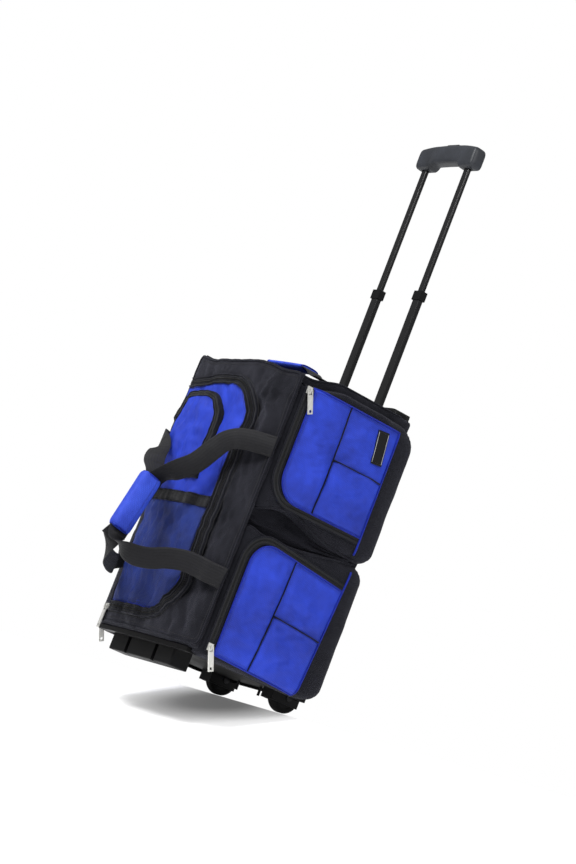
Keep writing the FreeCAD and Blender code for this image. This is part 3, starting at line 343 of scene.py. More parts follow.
# The material slots and their looks; the CAD pieces that stay get the first.
SLOTS = {"black_fabric": (BLACK, BLACK_SMOOTH, PIPING, THREAD, BLUE_THREAD, LABEL, LABEL_EDGE),
         "blue_fabric": (BLUE, BLUE_WRAPPED, BLUE_PIPING), "blue_mesh": (BLUE_MESH,), "webbing": (WEBBING,),
         "zip_tape": (ZIP_TAPE, COIL), "pull_metal": (NICKEL,), "black_tube": (TUBE,),
         "black_plastic": (PLASTIC,), "grip_plastic": (GRIP_PLASTIC,), "tyre_rubber": (RUBBER,),
         "steel": (STEEL,)}
SLOT_OF = {look.name: slot for slot, looks in SLOTS.items() for look in looks}


# Mesh making -------------------------------------------------

def linked(name, data):
    """A new object of that data, in the scene."""
    made = bpy.data.objects.new(name, data)
    bpy.context.scene.collection.objects.link(made)
    return made


def as_mesh(name, made):
    """A new mesh with the shape of a bmesh, which is then let go."""
    mesh = bpy.data.meshes.new(name)
    made.to_mesh(mesh)
    made.free()
    return mesh


def finish(name, mesh, look, slot=None, body="bag"):
    """The piece of that mesh, smooth, with its material and the body that it rides on; its slot is looked up
    but not given to it.
    """
    piece = linked(name, mesh)
    mesh.materials.append(look)
    mesh.shade_smooth()
    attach(piece, body)
    slot or SLOT_OF[look.name]
    return piece


def grid(name, rows, look, wrap=False, loop=False, caps=False, out=None, thick=0.0, body="bag"):
    """A skin over rows of points. wrap closes each row, and loop joins the last row to the first."""
    count, wide = len(rows), len(rows[0])
    across, along = [0.0], [0.0]
    for k in range(1, wide + 1):
        across.append(across[-1] + (rows[count // 2][k % wide] - rows[count // 2][k - 1]).length)
    for k in range(1, count + 1):
        along.append(along[-1] + (rows[k % count][wide // 2] - rows[k - 1][wide // 2]).length)
    faces, maps = [], []
    for i in range(count if loop else count - 1):
        for j in range(wide if wrap else wide - 1):
            square = ((i, j), (i + 1, j), (i + 1, j + 1), (i, j + 1))
            faces.append([a % count * wide + b % wide for a, b in square])
            maps.append([(along[a], across[b]) for a, b in square])
    if caps:
        for i in (0, count - 1):
            faces.append([i * wide + j for j in range(wide)])
            maps.append([(along[i], across[j]) for j in range(wide)])
    mesh = bpy.data.meshes.new(name)
    mesh.from_pydata([tuple(p) for row in rows for p in row], [], faces)
    layer = mesh.uv_layers.new(name="UVMap")
    for polygon, corners in zip(mesh.polygons, maps):
        for loop_index, place in zip(polygon.loop_indices, corners):
            layer.data[loop_index].uv = place
    made = bmesh.new()
    made.from_mesh(mesh)
    if out is None:
        bmesh.ops.recalc_face_normals(made, faces=made.faces)
    else:
        made.normal_update()
        if sum((face.normal * face.calc_area()).dot(out) for face in made.faces) < 0:
            bmesh.ops.reverse_faces(made, faces=made.faces)
    made.to_mesh(mesh)
    made.free()
    piece = finish(name, mesh, look, body=body)
    if thick:
        solid = piece.modifiers.new("cloth thickness", "SOLIDIFY")
        solid.thickness = thick
        solid.offset = -1.0
    return piece


def frames(on, path, lift=0.0):
    """Frames (middle, across, out) along a path on a surface, lifted off it."""
    middles = [on(*place, lift) for place in path]
    outs = [(on(*place, lift + MM) - middle).normalized() for place, middle in zip(path, middles)]
    result = []
    for i, (middle, out) in enumerate(zip(middles, outs)):
        along = middles[min(i + 1, len(middles) - 1)] - middles[max(i - 1, 0)]
        result.append((middle, out.cross(along).normalized(), out))
    return result


def sweep(name, line, profile, look, body="bag", loop=False):
    """A closed profile of (across, out) points carried along a line of frames."""
    rows = [[middle + (across * a + out * o) * MM for a, o in profile] for middle, across, out in line]
    return grid(name, rows, look, wrap=True, loop=loop, caps=not loop, body=body)


def oval(wide, high, count=10):
    """A closed oval profile, in millimetres like every profile here."""
    return [(wide / 2 * math.cos(2 * math.pi * k / count), high / 2 * math.sin(2 * math.pi * k / count))
            for k in range(count)]


def flat(wide, thick, crown=0.0):
    """A closed flat profile with rounded edges, its face raised by crown in the middle."""
    half, low = wide / 2 - thick / 2, -thick / 2
    top = [(x, thick / 2 + crown * (1 - (k / 4 - 1) ** 2)) for k, x in enumerate(run(half, -half, 8))]
    return [(half, low), (wide / 2, 0)] + top + [(-wide / 2, 0), (-half, low)]


def shifted(profile, across, out):
    """The same profile, moved across and out."""
    return [(a + across, o + out) for a, o in profile]


def blocks(name, line, pitch, size, look, across=0.0, out=0.0, lean=0.0, slot=None):
    """Small rounded blocks, in millimetres, along a line of frames: zip teeth or stitches."""
    pitch, across, out, lean = pitch * MM, across * MM, out * MM, lean * MM
    long, broad, high = (v * MM for v in size)
    places = [middle + a * across + o * out for middle, a, o in line]
    lengths = [0.0]
    for a, b in zip(places, places[1:]):
        lengths.append(lengths[-1] + (b - a).length)
    made = bmesh.new()
    i = 0
    for k in range(int(lengths[-1] / pitch)):
        at = (k + 0.5) * pitch
        while i < len(places) - 2 and lengths[i + 1] < at:
            i += 1
        span = lengths[i + 1] - lengths[i] or 1.0
        middle = places[i].lerp(places[i + 1], (at - lengths[i]) / span)
        along = (places[i + 1] - places[i]).normalized()
        wide, up = line[i][1], line[i][2]
        tilt = lean if k % 2 else -lean
        corners = []
        for end in (-1, 1):
            for side, rise in ((-1, 0), (-0.7, 1), (0.7, 1), (1, 0)):
                forward = end * long / 2 * (1 - 0.25 * rise) + tilt * side
                corners.append(made.verts.new(middle + along * forward + wide * side * broad / 2
                                              + up * rise * high))
        for a, b in ((0, 1), (1, 2), (2, 3), (3, 0)):
            made.faces.new((corners[a], corners[b], corners[b + 4], corners[a + 4]))
        made.faces.new(corners[3::-1])
        made.faces.new(corners[4:])
    bmesh.ops.recalc_face_normals(made, faces=made.faces)
    return finish(name, as_mesh(name, made), look, slot)


def stitches(name, on, path, lift, look=None):
    """A row of thread stitches along a path on a surface."""
    return blocks(name, frames(on, path, lift), *STITCH, look or THREAD)


def patch(name, on, heights, left, right, columns, lift, look, out):
    """Cloth between two upright edges. lift(u, v, x, z) is how far it stands off the surface."""
    low, high = heights[0], heights[-1]
    rows = []
    for z in heights:
        row = []
        for k in range(columns + 1):
            u, v = k / columns, (z - low) / (high - low)
            x = lerp(left(z), right(z), u)
            row.append(on(x, z, lift(u, v, x, z)))
        rows.append(row)
    return grid(name, rows, look, out=out, thick=CLOTH)


def crown(u, v, power=4):
    """1 in the middle of a patch and 0 at its edges."""
    return (1 - abs(2 * u - 1) ** power) * (1 - abs(2 * v - 1) ** power)


# The front of the bag ----------------------------------------

SHELL_CORNER = 12 * MM            # the body's upright back corners
CHANNEL_X = 82 * MM               # the seams over the poles, on the back
HALF = SURROUND[1].x
FRONT_EDGE = SIDE_WALL[0].y
BULGE = FRONT_EDGE - SURROUND[0].y
RADIUS = (HALF ** 2 + BULGE ** 2) / (2 * BULGE)
AXIS_Y = SURROUND[0].y + RADIUS
LOW_Z, HIGH_Z = SURROUND[0].z, SURROUND[1].z
WALL_X = SIDE_WALL[1].x
BACK_Y = BACK[1].y
FLAP_LEFT = 6 * MM - HALF


def top_sag(x, y):
    """How far the soft top edge hangs below its full height, at the right front corner and in the middle."""
    corner = 0.018 * ease((x - 0.04) / 0.10)
    slack = 0.011 * ease((x + 0.165) / 0.06) * (1 - ease((x - 0.02) / 0.08))
    return ease((0.035 - y) / 0.08) * (corner + slack + 0.003 * rough(0.05, x, 0.0, 4.0))


def sagged(x, y, z):
    return z - top_sag(x, y) * ease((z - 0.47) / (HIGH_Z - 0.47))


def relief(x, z):
    """How far the stuffed, slightly creased front stands off its plain bulge."""
    across, up = x / HALF, 2 * (z - LOW_Z) / (HIGH_Z - LOW_Z) - 1
    held = (1 - min(abs(across), 1) ** 6) * (1 - min(abs(up), 1) ** 8)
    loose = 6 * MM * (1 + ease((0.16 - z) / 0.1)) + 10 * MM * ease((z - 0.36) / 0.2) * ease((x - 0.05) / 0.06)
    creases = rough(0.085, x * 1.7, 0.4, z) + 0.55 * rough(0.032, x * 1.3, 2.0, z + 0.5 * x)
    folds = -abs(rough(0.07, x + 0.5 * z, 5.0, 0.45 * z - 0.6 * x)) * 1.2
    return held * (3.5 * MM + loose * (creases + folds * ease((x - 0.06) / 0.04)))


def drawn_in(z):
    """How far the slack left seam is pulled in towards the middle."""
    low = 37 * MM * ease((z - 0.02) / 0.05) * ease((0.44 - z) / 0.22)
    return 6 * MM + low + 8 * MM * ease((z - 0.45) / 0.06)


def front(x, z, lift=0.0):
    """A point on the front of the bag, lifted off it."""
    x += drawn_in(z) * ease(-x / HALF)
    lean = x / RADIUS
    out = Vector((lean, -math.sqrt(1 - lean ** 2), 0))
    return Vector((0, AXIS_Y, sagged(x, FRONT_EDGE, z))) + out * (RADIUS + relief(x, z) + lift)


def plan():
    """The body's plan, from the middle of the front round to the middle of the back: (x, y, out)."""
    points = [(x, None, Vector((x / RADIUS, -math.sqrt(1 - (x / RADIUS) ** 2), 0)))
              for x in run(0, HALF - 2 * MM, 41)]
    for x, y, turn in ((HALF, FRONT_EDGE + 1.5 * MM, -35), (HALF - 1.5 * MM, FRONT_EDGE + 6 * MM, 0),
                       (WALL_X + 2 * MM, FRONT_EDGE + 11 * MM, 8)):
        points.append((x, y, Vector((math.cos(math.radians(turn)), math.sin(math.radians(turn)), 0))))
    corner = SHELL_CORNER
    start, end = FRONT_EDGE + 16 * MM, BACK_Y - corner
    points += [(WALL_X, y, Vector((1, 0, 0))) for y in run(start, end, 45)]
    for k in range(1, 9):
        turn = math.pi / 2 * k / 8
        out = Vector((math.cos(turn), math.sin(turn), 0))
        points.append((WALL_X - corner + corner * out.x, BACK_Y - corner + corner * out.y, out))
    return points + [(x, BACK_Y, Vector((0, 1, 0))) for x in run(WALL_X - corner, 0, 19)[1:]]


def make_shell():
    """The body in one loft, bottom to top: the front, both sides, the back and the softly closed ends."""
    right = plan()
    whole = [(x, y, out, 1) for x, y, out in right]
    whole += [(x, y, out, -1) for x, y, out in reversed(right[1:-1])]
    middle = Vector((0, (FRONT_EDGE + BACK_Y) / 2, 0))
    low, high = LOW_Z + 1 * MM, HIGH_Z - 1 * MM
    stages = [(s, low) for s in (0.1, 0.3, 0.5, 0.7, 0.88, 0.96)]
    stages += [(0.985, low + 2 * MM), (0.996, low + 6 * MM)]
    stages += [(1.0, z) for z in levels(low + 12 * MM, high - 10 * MM, 5 * MM)]
    stages += [(0.998, high - 5 * MM), (0.99, high - 1.5 * MM)]
    stages += [(s, high) for s in (0.97, 0.93, 0.88, 0.82, 0.75, 0.66, 0.56, 0.44, 0.3, 0.15)]
    rows = []
    for scale, z in stages:
        row = []
        for x, y, out, side in whole:
            if y is None:
                point = front(side * x, z)
            else:
                slack = -2.5 * MM * (0.5 + rough(0.05, side * x, y, z)) * (1 - 0.5 * (scale < 1))
                past = max(x - WALL_X, 0) / (HALF - WALL_X) * drawn_in(z) if side < 0 else 0
                point = Vector((side * (x - past + out.x * slack), y + out.y * slack, sagged(side * x, y, z)))
            if scale < 1:
                flat_part = 1 - scale
                point = point.lerp(Vector((middle.x, middle.y, point.z)), flat_part)
                if z > 0.5:
                    point.z = sagged(point.x, point.y, z) - ease(flat_part * 8) * 4 * MM * (
                        0.4 + rough(0.06, point.x, point.y, 1.0)) * (point.y < BEZEL[0].y)
            row.append(point)
        rows.append(row)
    shell = grid("body_shell", rows, BLACK, wrap=True, caps=True)
    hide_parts("front_surround", "side_wall_left", "side_wall_right", "top_panel", "bottom_panel",
                "back_panel")


def closed_outline(reach, low, high, low_turn, high_turn):
    """The line all round a panel, from the middle of its lower edge and back."""
    return rounded([(0, low, 0), (reach, low, low_turn), (reach, high, high_turn), (-reach, high, high_turn),
                    (-reach, low, low_turn), (0, low, 0)], 5 * MM)


def make_seams():
    """Piping round the front, along the top's sides and round the back."""
    edge, low, high = HALF - 1 * MM, LOW_Z + 7 * MM, HIGH_Z - 3 * MM
    loop = closed_outline(edge, low, high, 12 * MM, 10 * MM)
    sweep("front_seam_piping", frames(front, loop, 0.2 * MM), oval(5, 3.6), PIPING)
    left, right, turn = 9 * MM - edge, edge - 7 * MM, 8 * MM
    inner = rounded([(left, low + turn, 0), (right, low + turn, turn), (right, high - turn, turn),
                     (left, high - turn, 0)], 5 * MM)
    stitches("front_seam_stitching", front, inner, 0.1 * MM)
    for side, sign in SIDES:
        def top_side(y, x, lift=0.0):
            return Vector((sign * (WALL_X - 3 * MM), y, sagged(sign * WALL_X, y, HIGH_Z - 1.5 * MM) + lift))
        path = [Vector((y, 0)) for y in run(FRONT_EDGE, BACK_Y - 0.03, 50)]
        sweep(f"top_seam_piping_{side}", frames(top_side, path), oval(4.4, 4.4), PIPING)

    def behind(x, z, lift=0.0):
        return Vector((x, BACK_Y - 2 * MM + lift, z))
    loop = closed_outline(WALL_X - 22 * MM, LOW_Z + 45 * MM, HIGH_Z - 35 * MM, 20 * MM, 20 * MM)
    sweep("back_seam_piping", frames(behind, loop, 1 * MM), oval(4, 4), PIPING)
    for side, sign in SIDES:
        seam = [Vector((sign * CHANNEL_X, z)) for z in run(LOW_Z + 0.05, HIGH_Z - 0.04, 90)]
        sweep(f"back_channel_{side}", frames(behind, seam, 0.6 * MM), flat(14, 1.4), WEBBING)
        stitches(f"back_channel_stitching_{side}", behind, [p + Vector((5 * MM, 0)) for p in seam], 1.4 * MM)


def on_flap(x, z, lift=0.0):
    """A point on the flap, whose top falls towards its left end."""
    fall = 13 * MM * ease((-x - 0.03) / 0.13) * ease((z - 0.40) / 0.08)
    return front(x, z - fall, lift)


def narrowed(line, share):
    """The same frames, with the level runs only that share as wide as the upright ones."""
    return [(middle, across * lerp(1, share, across.z ** 2), out) for middle, across, out in line]


def make_main_zip():
    """The blue D-shaped flap with its piping, zip tape and zip coil."""
    width, level_share = TAPE[1].x - FLAP[1].x, 0.62
    radius = 0.066
    right, low, high = FLAP[1].x - 3 * MM, FLAP[0].z - 3 * MM, FLAP[1].z + 16 * MM
    flap = patch("flap_panel", on_flap, levels(low, high, 6 * MM, radius, radius),
                 lambda z: FLAP_LEFT, bow(right, low, high, radius, radius, -1), 50,
                 lambda u, v, x, z: 1.2 * MM + 1.5 * MM * crown(u, v) + 1.6 * MM * rough(0.04, x, 5.0, z),
                 BLUE, FRONTWARD)
    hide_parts("front_flap")

    def path(out):
        """The D-shaped line that far outside the flap's edge."""
        up = out * level_share
        return rounded([(FLAP_LEFT, high + up, 0), (right + out, high + up, radius + out),
                        (right + out, low - up, radius + out), (FLAP_LEFT, low - up, 0)], 4 * MM)
    line = narrowed(frames(on_flap, path(width / 2), 1.2 * MM), level_share)
    tape = sweep("main_zip_tape_band", line, flat(width / MM + 3, 1.4, 1.2), ZIP_TAPE)
    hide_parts("main_zip_tape")
    for name, across, size in (("inner_piping", -12.8, 5.2), ("inner_lip", -5.0, 3.2),
                               ("outer_lip", 5.0, 3.2), ("outer_piping", 12.8, 5.6)):
        sweep(f"main_zip_{name}", line, shifted(oval(size, size), across, 1.4), PIPING)
    blocks("main_zip_coil", line, 1.9, (1.2, 6, 1.3), COIL, out=1.8, lean=0.2)
    stitches("main_zip_stitching", on_flap, path(width + 4 * MM), 0.3 * MM)
    stitches("flap_edge_stitching", on_flap, path(-4.5 * MM), 2.2 * MM, BLUE_THREAD)


def make_flap_pocket():
    """The zipped pocket on the flap: a low black wall, an arched zip and a stuffed blue panel."""
    low, high = FLAP_POCKET[0].z + 22 * MM, FLAP_POCKET[1].z - 1 * MM
    left, right = FLAP_LEFT + 7 * MM, FLAP_POCKET[1].x + 3 * MM
    inset = 14 * MM
    left_radius, radius, stand = 0.058, 0.076, 8 * MM

    def wall(u, v, x, z):
        near = min(min(u, 1 - u) * (right - left), (1 - v) * (high - low), v * (high - low)) / (5 * MM)
        return stand * math.sqrt(max(1 - (1 - min(near, 1)) ** 2, 0.0))

    def edges(inset):
        """The pocket's left and right edges, that far inside its outline."""
        top = high - inset
        return (bow(left + inset / 2, low, top, 0, left_radius - inset / 2, 1),
                bow(right - inset, low, top, 0, radius - inset, -1))
    gusset = patch("flap_pocket_wall", front, levels(low, high, 5 * MM, 0.004, radius), *edges(0), 60, wall,
                   BLACK_SMOOTH, FRONTWARD)
    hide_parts("flap_pocket")
    top = high - inset * 0.6
    tape_path = rounded([(left + inset / 2, top - 0.042, 0), (left + inset / 2, top, left_radius - inset / 2),
                         (right - inset, top, radius - inset), (right - inset, low + 2 * MM, 0)], 3 * MM)
    line = narrowed(frames(front, tape_path, stand), 0.6)
    sweep("flap_pocket_zip_tape", line, flat(16, 1.4, 0.8), ZIP_TAPE)
    blocks("flap_pocket_zip_coil", line, 1.7, (1.1, 4.6, 1.0), COIL, out=0.9, lean=0.2)
    for name, across in (("inner", -8), ("outer", 8)):
        sweep(f"flap_pocket_{name}_piping", line, shifted(oval(3.4, 3.4), across, 0.8), PIPING)

    def stuffed(u, v, x, z):
        folds = 5 * MM * rough(0.06, x - 0.5 * z, 9.0, z * 1.6) * crown(u, v, 6)
        return stand + 0.4 * MM + 7 * MM * crown(u, v, 3) + folds
    edge = inset + 8 * MM
    patch("flap_pocket_panel", front, levels(low + 2 * MM, high - edge * 0.6, 4 * MM, 0, radius - edge),
          bow(left + edge / 2, low, high - edge * 0.6, 0, left_radius - edge / 2, 1),
          bow(right - edge, low, high - edge * 0.6, 0, radius - edge, -1), 48, stuffed,
          BLUE, FRONTWARD)


def make_mesh_pocket():
    """The open mesh pocket on the flap, with its bound upper edge."""
    low, high = FLAP[0].z - 1 * MM, MESH_POCKET[1].z
    left, right = FLAP_LEFT + 2 * MM, FLAP[1].x - 4 * MM
    band = 22 * MM
    radius = 0.062

    def hanging(u, v, x, z):
        folds = 2.5 * MM * rough(0.05, x * 1.6, 14.0, z * 0.7) * crown(u, v, 6)
        return 2.2 * MM + 5 * MM * crown(u, v, 4) + 1.5 * MM * v + folds
    mesh = patch("mesh_pocket_panel", front, levels(low, high - band + 3 * MM, 4 * MM, radius, 0),
                 lambda z: left, bow(right, low, high, radius, 0, -1), 54, hanging, BLUE_MESH, FRONTWARD)
    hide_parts("mesh_pocket")
    middle = high - band / 2
    path = [Vector((x, middle)) for x in run(left, right + 2 * MM, 70)]
    line = frames(front, path, 4.2 * MM)
    sweep("mesh_pocket_band", line, flat(band / MM, 2.2, 1.2), WEBBING)
    for name, across in (("upper", 9), ("lower", -9.5)):
        sweep(f"mesh_pocket_{name}_edge", line, shifted(oval(3.2, 3.2), across, 0.8), PIPING)
    stitches("mesh_pocket_stitching", front, [p + Vector((0, 5.5 * MM)) for p in path], 6.6 * MM)


# The side pockets --------------------------------------------

PANEL_FRONT = -41 * MM
PANEL_BEND = 46 * MM
FRONT_ROUND, BACK_ROUND = 22 * MM, 50 * MM      # how far the pockets' ends curve in


class SidePocket:
    """One side pocket: how far it stands off the bag's side, and the pieces sewn to it."""

    def __init__(self, level, side, sign):
        self.name, self.side, self.sign, self.upper = level, side, sign, level == "upper"
        self.out = Vector((sign, 0, 0))
        low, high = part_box(f"{level}_pocket_{side}")
        self.low, self.high = low.z, high.z
        self.front, self.back = FRONT_EDGE + 2 * MM, BACK_Y + (9 * MM if self.upper else 7 * MM)
        self.depth = max(abs(low.x), abs(high.x)) - WALL_X
        self.zip_y = sum(corner.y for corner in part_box(f"{level}_zip_slider_{side}")) / 2
        self.zip_z = self.low + 21 * MM if self.upper else self.high - 16 * MM
        gap = 6.5 * MM
        self.panel_low = self.zip_z + gap if self.upper else self.low + 6 * MM
        self.panel_high = self.high - 15 * MM if self.upper else self.zip_z - gap

    def edge_low(self, y):
        """The pocket's lower edge: the upper pocket's is drawn up where the gusset folds open."""
        if not self.upper:
            return self.low
        return self.low - 18 * MM + 28 * MM * math.exp(-(y / 0.066) ** 2)

    def edge_high(self, y):
        if self.upper:
            sag = top_sag(self.sign * WALL_X, y)
            return min(self.high + 3 * MM, HIGH_Z - 4 * MM) - sag
        return self.high + 2 * MM + 24 * MM * ease((y - 0.01) / 0.19) + 6 * MM * ease((-0.03 - y) / 0.035)

    @staticmethod
    def behind(y):
        """0 along most of the pocket, and 1 where its back end curves in."""
        return ease((y - 0.12) / 0.05)

    def reach(self, y, z):
        """How near the outline a place is, from 0 inside to 1 on it and more outside, along y and z."""
        low, high = self.edge_low(y), self.edge_high(y)
        under = lerp(11 * MM, 30 * MM, self.behind(y))
        over = lerp(9 * MM, 40 * MM if self.upper else 32 * MM, self.behind(y))
        forward = (self.front + FRONT_ROUND - y) / FRONT_ROUND
        along = max(forward, (y - self.back + BACK_ROUND) / BACK_ROUND, 0)
        return along, max((low + under - z) / under, (z - high + over) / over, 0)

    def held(self, y, z):
        """The nearest place inside the rounded outline."""
        for _ in range(3):
            along, up = self.reach(y, z)
            out = math.hypot(along, up)
            if out <= 1:
                break
            shrink = (1 - 1 / out) * 1.02
            y += (FRONT_ROUND if y < 0.06 else -BACK_ROUND) * along * shrink
            middle = (self.low + self.high) / 2
            z += math.copysign(lerp(10 * MM, 34 * MM, self.behind(y)), middle - z) * up * shrink
        return y, z

    def stand(self, y, z):
        """How far the pocket stands off the wall; outside its outline it is sewn in behind the wall."""
        out = math.hypot(*self.reach(y, z))
        return self.depth * (1 - out ** 2.8) ** (1 / 2.8) if out < 1 else -7 * MM

    def on(self, y, z, lift=0.0):
        return Vector((self.sign * (WALL_X + self.stand(y, z) + lift), y, z))

    def rise(self, z):
        """0 at the panel's lower edge and 1 at its upper edge."""
        return (z - self.panel_low) / (self.panel_high - self.panel_low)

    def skewed(self, y, z):
        """Heights on the lower pocket's panel fall towards the back."""
        if self.upper:
            return z
        v = min(max(self.rise(z), 0), 1.1)
        return z - v * (y - 0.09) * 0.11 - (1 - v) * (y - 0.055) * 0.05

    def sewn(self, y, z, lift=0.0):
        """A point on the skin, in the panel's own heights."""
        return self.on(y, self.skewed(y, z), lift)

    def back_seam(self, z):
        """Where the panel ends at the back."""
        return 162 * MM if self.upper else lerp(150 * MM, 167 * MM, self.rise(z))

    def divider(self, z):
        """Where the seam in front of the slip pocket runs."""
        return 44.5 * MM if self.upper else lerp(36.8 * MM, 51.5 * MM, self.rise(z))

    def panel(self, y, z, lift=0.0):
        """A point on the stuffed, slightly creased blue panel."""
        u = (y - PANEL_FRONT) / (self.back_seam(z) - PANEL_FRONT)
        u, v = min(max(u, 0), 1), min(max(self.rise(z), 0), 1)
        full = 5.5 * MM * crown(u, v, 3)
        near = math.exp(-((y - self.divider(z)) / (9 * MM)) ** 2)
        seam = 2.8 * MM * near * crown(u, v, 8)
        loose = crown(u, v, 4) * (1 - 0.9 * near)
        if self.upper and self.sign > 0:
            up = (z - self.panel_high + 0.043) / 0.046      # the cloth is flat under the label
            loose *= 1 - 0.9 * math.exp(-((y - 0.13) / 0.024) ** 2 - up ** 4)
        across, along = y + 0.7 * z, 1.2 * z - 0.5 * y
        folds = 7 * MM * rough(0.07, across, 3.0 * self.sign, along)
        folds += 6 * MM * abs(rough(0.06, across * 0.6, 8.0 + self.low, along * 1.6))
        return self.sewn(y, z, 1.6 * MM + full - seam + folds * loose + lift)

    def label(self, piece):
        return f"{self.name}_{piece}_{self.side}"

    def make_skin(self):
        """The black gusset, the smooth black back band and the edges that roll down to the wall."""
        along = levels(self.front, self.back, 4 * MM, FRONT_ROUND, BACK_ROUND)
        rows = []
        for v in levels(0, 1, 4 * MM / (self.high - self.low), 0.07, 0.07):
            row = []
            for y in along:
                y, z = self.held(y, lerp(self.edge_low(y), self.edge_high(y), v))
                stand = max(self.stand(y, z), 0) / self.depth
                slack = 2.6 * MM * (rough(0.045, y, self.sign, z) - 0.5) * stand * (1 - stand ** 6 * 0.7)
                row.append(self.on(y, z, slack))
            rows.append(row)
        skin = grid(self.label("pocket_skin"), rows, BLACK_SMOOTH, out=self.out)
        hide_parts(f"{self.name}_pocket_{self.side}")

    def outline(self, inset=0.0):
        """The blue panel's corners, with the zip's bend at the front."""
        low, high = self.panel_low + inset, self.panel_high - inset
        front = PANEL_FRONT + inset
        bend, sharp = PANEL_BEND - inset, 4 * MM
        low_bend, high_bend = (bend, sharp) if self.upper else (sharp, bend)
        return [(self.back_seam(high), high, 0), (front, high, high_bend), (front, low, low_bend),
                (self.back_seam(low), low, 0)]

    def make_panel(self):
        low, high = self.panel_low, self.panel_high
        bends = (PANEL_BEND, 0) if self.upper else (0, PANEL_BEND)
        patch(self.label("pocket_panel"), self.panel, levels(low, high, 3.5 * MM, *bends),
              bow(PANEL_FRONT, low, high, *bends, 1), self.back_seam, 60, lambda u, v, y, z: 0.0,
              BLUE, self.out)
        sweep(self.label("panel_welt"), frames(self.sewn, rounded(self.outline(), 4 * MM), 2.2 * MM),
              oval(3.4, 3.4), BLUE_PIPING)
        stitches(self.label("panel_stitching"), self.panel, rounded(self.outline(5 * MM), 4 * MM), 0.2 * MM,
                 BLUE_THREAD)
        ends = [self.panel_low, self.panel_high]
        ends[0 if self.upper else 1] = self.zip_z + (-26 * MM if self.upper else 33 * MM)
        seam = [Vector((self.back_seam(z) + 0.5 * MM, z)) for z in run(*ends, 70)]
        sweep(self.label("back_welt"), frames(self.sewn, seam, 2.2 * MM), oval(3.8, 3.8), BLUE_PIPING)

    def make_slip_pocket(self):
        """The divider seam, and the slip pocket behind it with its bound opening."""
        low, high = self.panel_low, self.panel_high
        seam = [Vector((self.divider(z), z)) for z in run(low, high, 50)]
        sweep(self.label("divider_piping"), frames(self.panel, seam, 0.9 * MM), oval(2.6, 2.8), PIPING)
        mouth = lerp(low, high, 0.5)
        patch(self.label("slip_pocket"), self.panel, levels(low + 2 * MM, mouth, 4 * MM),
              lambda z: self.divider(z) + 1.4 * MM, lambda z: self.back_seam(z) - 1.6 * MM, 34,
              lambda u, v, y, z: 0.8 * MM + 2.6 * MM * v ** 3 * (1 - abs(2 * u - 1) ** 4), BLUE,
              self.out)
        slit = [Vector((y, mouth + 1 * MM))
                for y in run(self.divider(mouth) + 1 * MM, self.back_seam(mouth) - 2 * MM, 40)]
        sweep(self.label("slit_binding"), frames(self.panel, slit, 2.6 * MM), oval(2.4, 2.6), PIPING)

    def make_zip(self):
        end = self.high - 10 * MM if self.upper else self.low + 5 * MM
        back = self.back_seam(self.zip_z) + 4 * MM
        path = rounded([(self.zip_y, end, 0), (self.zip_y, self.zip_z, 50 * MM), (back, self.zip_z, 0)], 3 * MM)
        line = frames(self.sewn, path, 0.7 * MM)
        tape = sweep(self.label("pocket_zip_tape"), line, flat(12, 1.4), ZIP_TAPE)
        if self.upper:
            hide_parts(f"pocket_zips_{self.side}")
        blocks(self.label("pocket_zip_coil"), line, 1.7, (1.1, 4.4, 0.9), COIL, out=0.5, lean=0.2)
        for k, across in enumerate((-6.4, 6.4)):
            sweep(self.label(f"zip_fold_{k}"), line, shifted(oval(2.8, 2.8), across, 0.4), PIPING)

    def make_edges(self):
        """Piping where the pocket's rolled edge meets the folded gusset between the two pockets."""
        edge, inward = (self.edge_low, 4 * MM) if self.upper else (self.edge_high, -4 * MM)
        path = [Vector((y, edge(y) + inward)) for y in run(self.front + 6 * MM, 172 * MM, 60)]
        sweep(self.label("gap_piping"), frames(self.on, path, 0.8 * MM), oval(4, 4), PIPING)


def make_gusset(side, sign, upper, lower):
    """The slack black cloth between the two pockets: folds that run together towards the back."""
    rows = []
    for s in run(0, 1, 44):
        row = []
        for y in run(FRONT_EDGE + 5 * MM, 178 * MM, 60):
            z = lerp(lower.edge_high(y) - 5 * MM, upper.edge_low(y) + 5 * MM, s)
            closing = ease((y + 0.05) / 0.2)
            hollow = lerp(2 * MM, 13 * MM, closing) + 7 * MM * math.exp(-((s - 0.3) / 0.13) ** 2)
            hollow += 6 * MM * closing * math.exp(-((s - 0.72) / 0.1) ** 2)
            hollow -= 9 * MM * math.exp(-((s - 0.66) / 0.14) ** 2 - ((y + 0.01) / 0.05) ** 2)
            hollow *= ease((s + 0.04) / 0.2) * ease((1.04 - s) / 0.2)
            row.append(Vector((sign * (WALL_X + hollow + 2.5 * MM * rough(0.03, y * 0.6, sign, z)), y, z)))
        rows.append(row)
    grid(f"gusset_{side}", rows, BLACK_SMOOTH, out=Vector((sign, 0, 0)))

    def fold(y, s, lift=0.0):
        z = lerp(lower.edge_high(y), upper.edge_low(y), s)
        return Vector((sign * (WALL_X + lerp(9 * MM, 19 * MM, ease((y + 0.05) / 0.2)) + lift), y, z))
    line = [Vector((y, 0.27)) for y in run(FRONT_EDGE + 12 * MM, 160 * MM, 50)]
    sweep(f"gusset_fold_piping_{side}", frames(fold, line), oval(3.4, 3.4), PIPING)


def make_label(pocket):
    """A plain rubber label with a light edge."""
    wide, top = 26, pocket.panel_high
    foot, head = Vector((0.1328, top - 74 * MM)), Vector((0.127, top - 12 * MM))
    line = frames(pocket.panel, [foot.lerp(head, k / 20) for k in range(21)], 2 * MM)
    sweep("label_plate", line, flat(wide, 1.8), LABEL)
    inner = (wide / 2 - 2.2) * MM
    rim = [(middle + across * side * inner, across, out) for side in (-1, 1)
           for middle, across, out in (line[1:-1] if side < 0 else reversed(line[1:-1]))]
    raised = [(middle + out * 0.9 * MM, across, out) for middle, across, out in rim]
    sweep("label_edge", raised, oval(1.0, 0.7, 6), LABEL_EDGE, loop=True)


